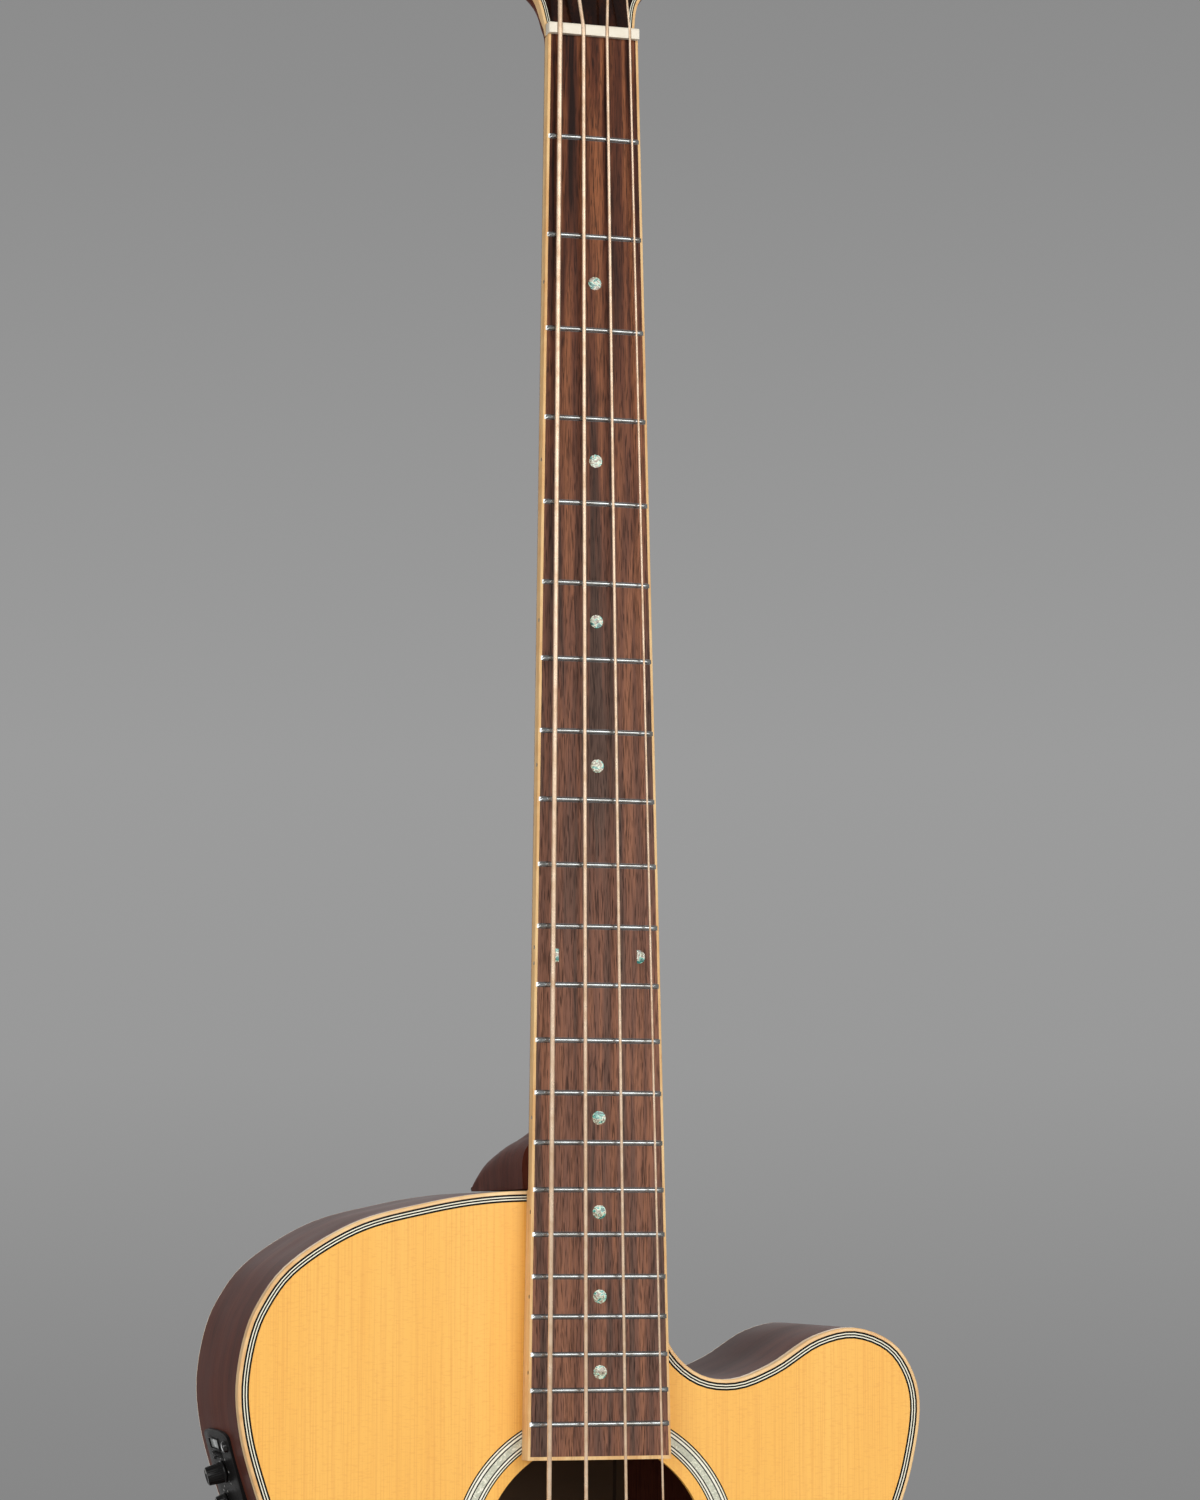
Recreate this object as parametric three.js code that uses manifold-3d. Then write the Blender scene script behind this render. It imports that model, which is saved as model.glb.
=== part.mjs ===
// Acoustic bass guitar, four strings, with a cutaway body and a preamp in the bass side.
// Millimetres, +Z up the neck, +X to the treble side, +Y from the strings to the back.
// The origin is the middle of the fretboard's playing surface at the front edge of the nut.

import * as THREE from 'three';
import { mergeVertices } from 'three/addons/utils/BufferGeometryUtils.js';
import Module from 'manifold-3d';

const wasm = await Module();
wasm.setup();

// Driving dimensions of the whole instrument.
const SCALE_LENGTH = 863.6;
const FRET_COUNT = 22;
const JOINT_FRET = 16;
const NECK_ANGLE = THREE.MathUtils.degToRad(1.2);
const HEAD_ANGLE = THREE.MathUtils.degToRad(15);
const BODY_LENGTH = 520.5;
const LOWER_BOUT_WIDTH = 428;
const BODY_DEPTH_AT_NECK = 106;
const BODY_DEPTH_AT_TAIL = 120;
const BODY_CENTRE_X = 1.2;
const HEAD_LENGTH = 184;
const HEAD_WIDTH = 87;

// Clearances: glued or resting faces, thin inlays, and parts that turn or slide.
const SEAT_GAP = 0.3;
const TRIM_GAP = 0.1;
const RUN_GAP = 0.3;
const OVERRUN = 4;
const WELD_TOLERANCE = 0.0001;

// Fretboard and neck.
const BOARD = {
  pastLastFret: 15.2, nutWidth: 42, endWidth: 64.3, radius: 400, thickness: 7,
  bindingWidth: 1.2, endBinding: 1.5, aboveTop: 9.6, crownSteps: 4,
};
const NECK = {
  backAtNut: 22.5, backAtJoint: 25.5, profilePower: 0.85, profileSteps: 12,
  root: 14, rootInside: 3, rootPower: 0.3, rootShare: 0.27,
};
const HEEL = { halfWidth: 30, reach: 52, capThickness: 2.4 };
const TENON = { halfWidth: 9, depth: 20, drop: 66 };
const NUT = { length: 5, height: 2.1, seatHeight: 1.1, steps: 4 };
const FRET = { width: 2.2, height: 1.1, insetFromEdge: 0.7, bevel: 0.7, tang: 0.4, tangInset: 1.2 };
const ROD = { diameter: 6, fromNut: 12, fromJoint: 4, channelDepth: 11, channelWidth: 7, sides: 8 };

// Head, veneer and truss rod cover.
const HEAD = { thickness: 13, veneer: 2, bindingWidth: 1.2, bindingHeight: 6.5, seat: 6.8, steps: 2 };
const COVER = { aboveNut: 18, length: 46, width: 24, thickness: 2, topWidthShare: 0.5 };

// Body shell.
const TOP_THICKNESS = 3;
const BACK_THICKNESS = 2.8;
const SIDE_THICKNESS = 2.5;
const BINDING = { width: 1.5, height: 6, backHeight: 5 };
const PURFLING_WIDTH = 2.9;
const LINING = { width: 7, height: 14 };
const SOUNDHOLE = { radius: 50.6, fromJoint: 158.2, segments: 32 };
const ROSETTE = { inner: 55.7, outer: 64.4, depth: 1.4 };
const NECK_BLOCK = { length: 58, bassWidth: 34, trebleWidth: 23 };
const TAIL_BLOCK = { length: 18, halfWidth: 42 };
const OUTLINE_SPACING = 38;
const CROSSING_SHARE = 0.99;

// Bracing.
const BRACE = { width: 8, height: 14, rimGap: 1 };
const X_BRACE = { drop: 237 };
const X_BRACE_ANGLE = THREE.MathUtils.degToRad(48);
const TONE_BAR = { belowPlate: 4.7, aboveTail: 28 };
const TONE_BAR_ANGLE = THREE.MathUtils.degToRad(65);
const UPPER_BRACE = { width: 9, belowCutaway: 3.2 };
const BACK_BRACE_SHARES = [0.22, 0.5, 0.78];
const BRIDGE_PLATE = { width: 140, height: 54, thickness: 2.6, drop: 356 };

// Bridge, saddle and pins.
const BRIDGE = {
  width: 176, height: 40, thickness: 14.5, wingThickness: 4.5, flatWidth: 104, aboveSaddle: 11,
  cornerRadius: 9, cornerSteps: 3, wingSteps: 5,
};
const SADDLE = { length: 78, thickness: 3.2, seatHeight: 7.5, slotDepth: 6.5, compensation: 2.2 };
const PIN = {
  behindSaddle: 20, shank: 2.5, headRadius: 4.1, headHeight: 3, length: 23, stringOffset: 3.4, sides: 10,
  crownShares: [0.7, 0.15], underHeadShare: 0.8, tipShare: 0.8,
};
const BALL = { radius: 2.9, length: 4.5, taper: 0.8 };

// Strings from bass to treble: their diameters, and their places across the nut and the saddle.
const STRING_DIAMETER = { e: 2.4, a: 1.9, d: 1.5, g: 1.1 };
const STRING_AT_NUT = { e: -16.3, a: -5.3, d: 5.8, g: 16.5 };
const STRING_AT_SADDLE = { e: -27.6, a: -9.4, d: 10.6, g: 29 };
// Places of the two pairs of tuner posts on the head, from its middle and from the nut.
const LOWER_POSTS = { across: 19.5, fromNut: 57 };
const UPPER_POSTS = { across: 20.5, fromNut: 117 };
const WINDING = { turns: 1.5, stepsPerTurn: 24, sides: 6, spareGap: 0.5, entryHeight: 15 };

// Tuners: post, bushing, back plate, wheel, worm and key.
const POST = { radius: 4.5, height: 20, rearRadius: 3, slotWidth: 2.6, slotDepth: 7, sides: 12 };
const BUSHING = { wall: 2.6, flange: 1.8, flangeHeight: 1.6, sides: 12 };
const PLATE = { thickness: 1.5, inner: 12, outer: 19, above: 11, below: 16 };
const EAR = { thickness: 2, height: 7, width: 8 };
const WHEEL = { teeth: 20, tip: 7, root: 5.5, thickness: 4, end: 1.5 };
const WORM = {
  crest: 3.4, root: 1.7, turns: 3, pointsPerTurn: 6, pitchRadius: 2.85, shaft: 1.9,
  gapShare: 0.45, flankShare: 0.4,
};
const KEY = { overEdge: 6, length: 22, width: 25, thickness: 7.5, neck: 2.8, sides: 8, paddleSides: [8, 6] };

// Preamp panel let into the bass side, measured along and across the rim.
const PANEL = {
  topShare: 0.1993, bottomShare: 0.3674, depth: 62, length: 90, width: 58, proud: 1.6, flange: 4,
  housingLength: 82, housingWidth: 53, housingDepth: 34, arch: 4, archSteps: 6,
};
const DISPLAY = { at: 6.8, across: 7, length: 4.2, width: 21, recess: 0.8 };
const VOLUME = { at: 18.2, across: -5, radius: 5, height: 8.5 };
const BASS = { at: 33, across: 9.5, radius: 4.5, height: 5 };
const TREBLE = { at: 50, across: 9.5, radius: 4.5, height: 5 };
const PITCH = { at: 6.4, across: -22 };
const PHASE = { at: 44, across: -12 };
const BUTTON = { radius: 2.5, height: 1.6, travel: 0.8, stem: 4.5, faceShare: 0.8, edgeShare: 0.7 };
const KNOB_SHAFT = { radius: 1.6, length: 6 };
const KNOB_FACE_SHARE = 0.88;
const KNOB_EDGE_SHARE = 0.9;
const DOOR = { at: 75, length: 21, width: 51, thickness: 1.8 };
const BATTERY = { length: 48.5, width: 17.5, depth: 26.5, sink: 1 };
const KNOB_SIDES = 14;

// End-pin jack: an output jack whose outer end is the strap button.
const JACK = {
  flange: 8, flangeHeight: 2.5, waist: 5, waistHeight: 8, rim: 7.5, rimHeight: 11, height: 14,
  barrel: 6, length: 30, bore: 3.3, boreDepth: 24, sides: 12,
};

// Materials, by the name of the finish.
const finishes = {
  spruce: { color: 0xf0bd6c, roughness: 0.35 },
  mahogany: { color: 0x50322d, roughness: 0.4 },
  maple: { color: 0xd9a05c, roughness: 0.4 },
  rosewood: { color: 0x46302a, roughness: 0.55 },
  pearl: { color: 0xdcdcd0, roughness: 0.25 },
  ebony: { color: 0x1d1715, roughness: 0.3 },
  bone: { color: 0xf0eee1, roughness: 0.45 },
  nickel: { color: 0xc9c8c4, roughness: 0.25, metalness: 1 },
  bronze: { color: 0xc99a6c, roughness: 0.35, metalness: 1 },
  black: { color: 0x232325, roughness: 0.5 },
  screen: { color: 0xa9b0ad, roughness: 0.2 },
  bracing: { color: 0xe0bd86, roughness: 0.7 },
};

// Frames: the body stands square, the neck leans by its angle, and the head leans back from the neck.
const bassGuitar = new THREE.Group();
const neckFrame = new THREE.Group();
neckFrame.rotation.x = -NECK_ANGLE;
bassGuitar.add(neckFrame);
const headFrame = new THREE.Group();
headFrame.position.set(0, HEAD.seat, NUT.length);
headFrame.rotation.x = -HEAD_ANGLE;
neckFrame.add(headFrame);
bassGuitar.updateMatrixWorld(true);

// Distance from the nut to a fret on the scale.
function fretDistance(fret) {
  return SCALE_LENGTH * (1 - 2 ** (-fret / 12));
}

const BOARD_LENGTH = fretDistance(FRET_COUNT) + BOARD.pastLastFret;
const JOINT_DISTANCE = fretDistance(JOINT_FRET);

// Each string with the post that it winds on.
const STRINGS = ['e', 'a', 'd', 'g'].map((name) => {
  const post = name === 'e' || name === 'g' ? LOWER_POSTS : UPPER_POSTS;
  return {
    name,
    diameter: STRING_DIAMETER[name],
    nutX: STRING_AT_NUT[name],
    saddleX: STRING_AT_SADDLE[name],
    postX: Math.sign(STRING_AT_NUT[name]) * post.across,
    postAt: post.fromNut,
  };
});

// Places that the body takes from the neck.
const JOINT_Z = -JOINT_DISTANCE * Math.cos(NECK_ANGLE);
const TAIL_Z = JOINT_Z - BODY_LENGTH;
const TOP_Y = BOARD.aboveTop - JOINT_DISTANCE * Math.sin(NECK_ANGLE);
const BACK_ANGLE = Math.atan((BODY_DEPTH_AT_TAIL - BODY_DEPTH_AT_NECK) / BODY_LENGTH);
const INSIDE_TOP = TOP_Y + TOP_THICKNESS;
const BODY_REACH = LOWER_BOUT_WIDTH + BODY_LENGTH;
const SOUNDHOLE_Z = JOINT_Z - SOUNDHOLE.fromJoint;

// Half width of the fretboard at a height on the neck, and the drop of its round surface.
function boardHalfWidth(z) {
  return (BOARD.nutWidth - (z / BOARD_LENGTH) * (BOARD.endWidth - BOARD.nutWidth)) / 2;
}

function crownDrop(x) {
  return BOARD.radius - Math.sqrt(BOARD.radius ** 2 - x ** 2);
}

// Keeps only the positions of a geometry, joined into one closed body that faces outwards.
function weld(geometry) {
  const bare = geometry.clone();
  bare.deleteAttribute('normal');
  bare.deleteAttribute('uv');
  const merged = mergeVertices(bare, WELD_TOLERANCE);
  const corners = merged.getIndex().array;
  const place = merged.getAttribute('position');
  const kept = [];
  let volume = 0;
  for (let i = 0; i < corners.length; i += 3) {
    const [a, b, c] = [corners[i], corners[i + 1], corners[i + 2]];
    if (a === b || b === c || c === a) continue;
    kept.push([a, b, c]);
    const [p, q, r] = [a, b, c].map((corner) => new THREE.Vector3().fromBufferAttribute(place, corner));
    volume += p.dot(q.cross(r));
  }
  merged.setIndex(kept.flatMap(([a, b, c]) => (volume < 0 ? [a, c, b] : [a, b, c])));
  return merged;
}

function solidOf(geometry) {
  const closed = weld(geometry);
  return new wasm.Manifold(new wasm.Mesh({
    numProp: 3,
    vertProperties: new Float32Array(closed.getAttribute('position').array),
    triVerts: new Uint32Array(closed.getIndex().array),
  }));
}

function geometryOf(solid) {
  const mesh = solid.getMesh();
  const geometry = new THREE.BufferGeometry();
  const positions = [];
  for (let i = 0; i < mesh.vertProperties.length; i += mesh.numProp) {
    positions.push(mesh.vertProperties[i], mesh.vertProperties[i + 1], mesh.vertProperties[i + 2]);
  }
  geometry.setAttribute('position', new THREE.Float32BufferAttribute(positions, 3));
  geometry.setIndex([...mesh.triVerts]);
  return geometry;
}

function cut(geometry, ...cutters) {
  return geometryOf(cutters.reduce((solid, cutter) => solid.subtract(solidOf(cutter)), solidOf(geometry)));
}

function join(...geometries) {
  const [first, ...others] = geometries.map(solidOf);
  return geometryOf(others.reduce((solid, other) => solid.add(other), first));
}

function common(geometry, other) {
  return geometryOf(solidOf(geometry).intersect(solidOf(other)));
}

function addPart(frame, name, geometry, finish) {
  const { color, roughness, metalness = 0 } = finishes[finish];
  const closed = weld(geometry);
  closed.computeVertexNormals();
  const mesh = new THREE.Mesh(closed, new THREE.MeshStandardMaterial({ color, roughness, metalness }));
  mesh.name = name;
  frame.add(mesh);
}

// Moves a copy of a geometry from a frame into the body's frame.
function placed(geometry, frame) {
  return geometry.clone().applyMatrix4(frame.matrixWorld);
}

function box(low, high) {
  const size = high.map((value, i) => value - low[i]);
  const middle = high.map((value, i) => (value + low[i]) / 2);
  return new THREE.BoxGeometry(...size).translate(...middle);
}

// A plate with its outline in the X and Z directions, from a front to a back depth.
function plate(outline, holes, front, back) {
  const shape = new THREE.Shape(outline);
  shape.holes = holes.map((hole) => new THREE.Path(hole));
  const slab = new THREE.ExtrudeGeometry(shape, { depth: back - front, bevelEnabled: false });
  return slab.rotateX(Math.PI / 2).translate(0, back, 0);
}

function circle(x, z, radius, segments) {
  return Array.from({ length: segments }, (_, i) => {
    const turn = (2 * Math.PI * i) / segments;
    return new THREE.Vector2(x + radius * Math.cos(turn), z + radius * Math.sin(turn));
  });
}

// Moves each point of a closed outline inwards by a distance, square to its two edges, and leaves out
// the points that would cross over at a corner.
function inset(outline, distance) {
  const moved = outline.map((point, i) => {
    const before = outline[(i + outline.length - 1) % outline.length];
    const after = outline[(i + 1) % outline.length];
    const arriving = point.clone().sub(before).normalize();
    const leaving = after.clone().sub(point).normalize();
    const normals = new THREE.Vector2(-arriving.y - leaving.y, arriving.x + leaving.x);
    return point.clone().addScaledVector(normals, distance / (1 + arriving.dot(leaving)));
  });
  const least = Math.abs(distance) * CROSSING_SHARE;
  return moved.filter((point) => outline.every((start, i) => {
    const edge = outline[(i + 1) % outline.length].clone().sub(start);
    const from = point.clone().sub(start);
    const share = THREE.MathUtils.clamp(from.dot(edge) / edge.lengthSq(), 0, 1);
    return from.addScaledVector(edge, -share).length() >= least;
  }));
}

// A band between two insets of one outline.
function band(outline, outer, inner, front, back) {
  return plate(inset(outline, outer), [inset(outline, inner)], front, back);
}

// A closed solid through rings of points that match one by one.
function loft(rings) {
  const count = rings[0].length;
  const points = rings.flat();
  const middles = [rings[0], rings[rings.length - 1]].map((ring) => {
    const sum = ring.reduce((total, point) => total.add(point), new THREE.Vector3());
    return sum.divideScalar(count);
  });
  const corners = [];
  for (let i = 0; i < rings.length - 1; i += 1) {
    for (let j = 0; j < count; j += 1) {
      const [a, b] = [i * count + j, i * count + ((j + 1) % count)];
      corners.push(a, b, b + count, a, b + count, a + count);
    }
  }
  const last = points.length - count;
  for (let j = 0; j < count; j += 1) {
    const next = (j + 1) % count;
    corners.push(points.length, next, j, points.length + 1, last + j, last + next);
  }
  const geometry = new THREE.BufferGeometry();
  geometry.setFromPoints([...points, ...middles]);
  geometry.setIndex(corners);
  return geometry;
}

// A round solid that follows a line of points, with one radius or a radius for each point.
function tube(points, radius, sides) {
  let across = null;
  const rings = points.map((point, i) => {
    const before = points[Math.max(i - 1, 0)];
    const after = points[Math.min(i + 1, points.length - 1)];
    const arriving = point.clone().sub(before).normalize();
    const leaving = after.clone().sub(point).normalize();
    const along = arriving.add(leaving).normalize();
    const sideways = Math.abs(along.x) < Math.SQRT1_2;
    const guide = across ?? new THREE.Vector3(sideways ? 1 : 0, 0, sideways ? 0 : 1);
    across = guide.clone().addScaledVector(along, -guide.dot(along)).normalize();
    const upright = new THREE.Vector3().crossVectors(along, across);
    const size = Array.isArray(radius) ? radius[i] : radius;
    return circle(0, 0, size, sides).map((spot) => point.clone()
      .addScaledVector(across, spot.x).addScaledVector(upright, spot.y));
  });
  return loft(rings);
}

// A turned solid about the Y axis, from pairs of radius and height that start and end on the axis.
function turned(profile, sides) {
  const points = profile.map(([radius, height]) => new THREE.Vector2(radius, height));
  return new THREE.LatheGeometry(points, sides);
}

function disc(radius, front, back, x, z, sides) {
  return turned([[0, front], [radius, front], [radius, back], [0, back]], sides).translate(x, 0, z);
}

// Outline of the body seen from the front: the bass side down to the tail, then the treble side up.
const bassOutlineShares = [
  [0, 0], [0.2215, 0.0024], [0.3625, 0.0119], [0.5061, 0.0284], [0.6408, 0.0638],
  [0.6927, 0.0924], [0.7173, 0.1156], [0.7354, 0.16], [0.726, 0.2012], [0.6938, 0.2479],
  [0.657, 0.29], [0.6161, 0.3482], [0.6028, 0.4171], [0.6202, 0.4627], [0.6742, 0.517],
  [0.7754, 0.5714], [0.8933, 0.6223], [0.9647, 0.6675], [1, 0.7229], [0.9535, 0.8146],
  [0.7862, 0.9017], [0.5232, 0.9647], [0.2167, 0.9946], [0, 1],
];
const trebleOutlineShares = [
  [0.2161, 0.9948], [0.523, 0.9646], [0.7839, 0.9017], [0.9505, 0.8147], [0.9981, 0.7228],
  [0.9629, 0.6674], [0.891, 0.6223], [0.7727, 0.5715], [0.6721, 0.5172], [0.6171, 0.4625],
  [0.5963, 0.4169], [0.5994, 0.3484], [0.6335, 0.289], [0.6774, 0.2343], [0.6971, 0.1774],
  [0.6768, 0.1479], [0.6364, 0.1278], [0.5559, 0.1157], [0.4714, 0.1226], [0.3751, 0.1463],
  [0.294, 0.158], [0.2243, 0.1544], [0.1653, 0.1348], [0.1311, 0.0976], [0.1235, 0.0465],
  [0.1235, 0],
];

// The lowest point of the cutaway, down the body.
const CUTAWAY_SHARE = Math.max(...trebleOutlineShares.slice(-7).map(([, down]) => down));

function bodyOutline() {
  const half = LOWER_BOUT_WIDTH / 2;
  const place = (side) => ([across, down]) => (
    new THREE.Vector3(BODY_CENTRE_X + side * across * half, JOINT_Z - down * BODY_LENGTH, 0));
  const points = [...bassOutlineShares.map(place(-1)), ...trebleOutlineShares.map(place(1))];
  const curve = new THREE.CatmullRomCurve3(points, false, 'centripetal');
  const rounds = points.slice(1).flatMap((point, i) => {
    const steps = Math.ceil(point.distanceTo(points[i]) / OUTLINE_SPACING);
    const shares = Array.from({ length: steps }, (_, j) => (i + (j + 1) / steps) / (points.length - 1));
    return shares.map((share) => curve.getPoint(share));
  });
  return [points[0], ...rounds].map((point) => new THREE.Vector2(point.x, point.y));
}

const outline = bodyOutline();

// A slab parallel to the slanted back, between two distances in from its outer face.
function backLayer(outer, inner) {
  const slab = box([-BODY_REACH, -inner, -BODY_REACH], [BODY_REACH, -outer, BODY_REACH]);
  return slab.rotateX(BACK_ANGLE).translate(0, TOP_Y + BODY_DEPTH_AT_NECK, JOINT_Z);
}

const DEEP_Y = TOP_Y + BODY_DEPTH_AT_TAIL + OVERRUN;
const BENEATH_BACK = BACK_THICKNESS + SEAT_GAP;
const RIM_INSIDE = SIDE_THICKNESS + TRIM_GAP;
const TOP_EDGE = BINDING.width + TRIM_GAP + PURFLING_WIDTH + TRIM_GAP;

// The room that the neck block takes with a gap around it, and the tail block's.
function neckBlockBox(gap) {
  return box(
    [-NECK_BLOCK.bassWidth - gap, INSIDE_TOP, JOINT_Z - RIM_INSIDE - NECK_BLOCK.length - gap],
    [NECK_BLOCK.trebleWidth + gap, DEEP_Y, JOINT_Z - RIM_INSIDE + gap],
  );
}

function tailBlockBox() {
  return box(
    [BODY_CENTRE_X - TAIL_BLOCK.halfWidth, INSIDE_TOP, TAIL_Z],
    [BODY_CENTRE_X + TAIL_BLOCK.halfWidth, DEEP_Y, TAIL_Z + RIM_INSIDE + TAIL_BLOCK.length],
  );
}

// The neck's tenon, which passes through the rim into a mortise in the neck block.
function tenonBox(gap) {
  return box(
    [-TENON.halfWidth - gap, TOP_Y + BINDING.height + SEAT_GAP - gap, JOINT_Z - TENON.depth - gap],
    [TENON.halfWidth + gap, INSIDE_TOP + TENON.drop + gap, JOINT_Z + OVERRUN],
  );
}

// String route: ball in the bridge plate, saddle, nut, and the turns around its post.
function stringRoute(string) {
  const radius = string.diameter / 2;
  const side = Math.sign(string.postX);
  const neckPoint = (x, y, z) => new THREE.Vector3(x, y, z).applyMatrix4(neckFrame.matrixWorld);
  const headPoint = (x, y, z) => new THREE.Vector3(x, y, z).applyMatrix4(headFrame.matrixWorld);
  const saddleTop = SADDLE.seatHeight + SEAT_GAP + radius;
  const nutTop = NUT.seatHeight + SEAT_GAP + radius;
  const onSaddle = neckPoint(string.saddleX, -saddleTop, -SCALE_LENGTH);
  const onNut = neckPoint(string.nutX, -nutTop, 0);
  const behindNut = neckPoint(string.nutX, -nutTop, NUT.length / 2);
  const pinZ = onSaddle.z - PIN.behindSaddle + PIN.stringOffset;
  const bridgeTop = TOP_Y - BRIDGE.thickness;
  const ballY = INSIDE_TOP + BRIDGE_PLATE.thickness + SEAT_GAP;
  const straight = [
    new THREE.Vector3(string.saddleX, ballY + BALL.length, pinZ),
    new THREE.Vector3(string.saddleX, ballY + BALL.taper, pinZ),
    new THREE.Vector3(string.saddleX, ballY, pinZ),
    new THREE.Vector3(string.saddleX, bridgeTop, pinZ),
    new THREE.Vector3(string.saddleX, bridgeTop - radius, pinZ + radius),
    onSaddle,
    onNut,
    behindNut,
  ];
  const radii = [BALL.radius, BALL.radius, radius, radius, radius, radius, radius, radius];
  const coil = POST.radius + RUN_GAP + radius;
  const pitch = string.diameter + WINDING.spareGap;
  const run = new THREE.Vector2(string.postX - string.nutX, string.postAt - NUT.length / 2 + NUT.length);
  const lean = Math.atan2(run.x * side, run.y) - Math.asin(coil / run.length());
  const count = WINDING.turns * WINDING.stepsPerTurn;
  const turns = Array.from({ length: count + 1 }, (_, i) => {
    const turn = -lean + (2 * Math.PI * i) / WINDING.stepsPerTurn;
    const drop = (pitch * i) / WINDING.stepsPerTurn;
    return headPoint(
      string.postX - side * coil * Math.cos(turn),
      -WINDING.entryHeight + drop,
      string.postAt + coil * Math.sin(turn),
    );
  });
  return { points: [...straight, ...turns], radii: [...radii, ...turns.map(() => radius)], turns };
}

// Least clear distance between turns of one winding, measured on its points.
function leastWindingGap(string) {
  const { turns } = stringRoute(string);
  let least = Infinity;
  turns.forEach((point, i) => {
    turns.slice(i + WINDING.stepsPerTurn / 2).forEach((other) => {
      least = Math.min(least, point.distanceTo(other) - string.diameter);
    });
  });
  return least;
}

function stringSleeves(extra) {
  return STRINGS.map((string) => {
    const { points } = stringRoute(string);
    return tube(points.slice(2, 8), string.diameter / 2 + extra, WINDING.sides);
  });
}

const pinSpots = STRINGS.map((string) => {
  const onSaddle = new THREE.Vector3(0, 0, -SCALE_LENGTH).applyMatrix4(neckFrame.matrixWorld);
  return new THREE.Vector2(string.saddleX, onSaddle.z - PIN.behindSaddle);
});

function pinHoles(front, back) {
  return pinSpots.map((spot) => disc(PIN.shank + SEAT_GAP, front, back, spot.x, spot.y, PIN.sides));
}

// Body shell.
function buildShell() {
  const sleeves = stringSleeves(SEAT_GAP);
  const holes = [circle(BODY_CENTRE_X, SOUNDHOLE_Z, SOUNDHOLE.radius, SOUNDHOLE.segments)];
  const channel = plate(
    circle(BODY_CENTRE_X, SOUNDHOLE_Z, ROSETTE.outer + TRIM_GAP, SOUNDHOLE.segments),
    [circle(BODY_CENTRE_X, SOUNDHOLE_Z, ROSETTE.inner - TRIM_GAP, SOUNDHOLE.segments)],
    TOP_Y - OVERRUN,
    TOP_Y + ROSETTE.depth + TRIM_GAP,
  );
  const top = plate(inset(outline, TOP_EDGE), holes, TOP_Y, INSIDE_TOP);
  const pins = pinHoles(TOP_Y - OVERRUN, INSIDE_TOP + OVERRUN);
  addPart(bassGuitar, 'soundboard', cut(top, channel, ...pins, ...sleeves), 'spruce');
  addPart(bassGuitar, 'rosette', plate(
    circle(BODY_CENTRE_X, SOUNDHOLE_Z, ROSETTE.outer, SOUNDHOLE.segments),
    [circle(BODY_CENTRE_X, SOUNDHOLE_Z, ROSETTE.inner, SOUNDHOLE.segments)],
    TOP_Y,
    TOP_Y + ROSETTE.depth,
  ), 'pearl');
  addPart(bassGuitar, 'top_purfling', band(
    outline, BINDING.width + TRIM_GAP, TOP_EDGE - TRIM_GAP, TOP_Y, INSIDE_TOP), 'ebony');
  addPart(bassGuitar, 'top_binding', band(outline, 0, BINDING.width, TOP_Y, TOP_Y + BINDING.height), 'maple');

  const rim = band(outline, 0, SIDE_THICKNESS, TOP_Y + BINDING.height + TRIM_GAP, DEEP_Y);
  const shortened = common(rim, backLayer(BINDING.backHeight + TRIM_GAP, BODY_DEPTH_AT_TAIL + OVERRUN));
  const openings = [tenonBox(SEAT_GAP), jackDrill(), panelOpening()];
  const low = [BODY_CENTRE_X + SEAT_GAP / 2, -BODY_REACH, -BODY_REACH - BODY_LENGTH];
  const high = [BODY_REACH, BODY_REACH, BODY_REACH];
  const trebleHalf = box(low, high);
  const bassHalf = box([-BODY_REACH, low[1], low[2]], [BODY_CENTRE_X - SEAT_GAP / 2, high[1], high[2]]);
  addPart(bassGuitar, 'side_bass', cut(common(shortened, bassHalf), ...openings), 'mahogany');
  addPart(bassGuitar, 'side_treble', cut(common(shortened, trebleHalf), ...openings), 'mahogany');

  const whole = plate(inset(outline, BINDING.width + TRIM_GAP), [], TOP_Y, DEEP_Y);
  addPart(bassGuitar, 'back_plate', common(whole, backLayer(0, BACK_THICKNESS)), 'mahogany');
  const backBand = band(outline, 0, BINDING.width, TOP_Y + BINDING.height, DEEP_Y);
  addPart(bassGuitar, 'back_binding', common(backBand, backLayer(0, BINDING.backHeight)), 'maple');

  addPart(bassGuitar, 'top_lining', cut(topLining(0), neckBlockBox(SEAT_GAP)), 'bracing');
  addPart(bassGuitar, 'back_lining', cut(backLining(0), neckBlockBox(SEAT_GAP)), 'bracing');
}

// An edge at a distance from the inside of the rim.
function innerEdge(distance) {
  return inset(outline, RIM_INSIDE + distance);
}

// Linings: the strips along the inside of the rim that the top and the back are glued to.
function topLining(gap) {
  return plate(
    inset(outline, RIM_INSIDE - gap), [innerEdge(LINING.width + gap)],
    INSIDE_TOP - gap, INSIDE_TOP + LINING.height + gap);
}

function backLining(gap) {
  const strip = plate(
    inset(outline, RIM_INSIDE - gap), [innerEdge(LINING.width + gap)], INSIDE_TOP + LINING.height, DEEP_Y);
  return common(strip, backLayer(BENEATH_BACK - gap, BENEATH_BACK + LINING.height + gap));
}

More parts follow.
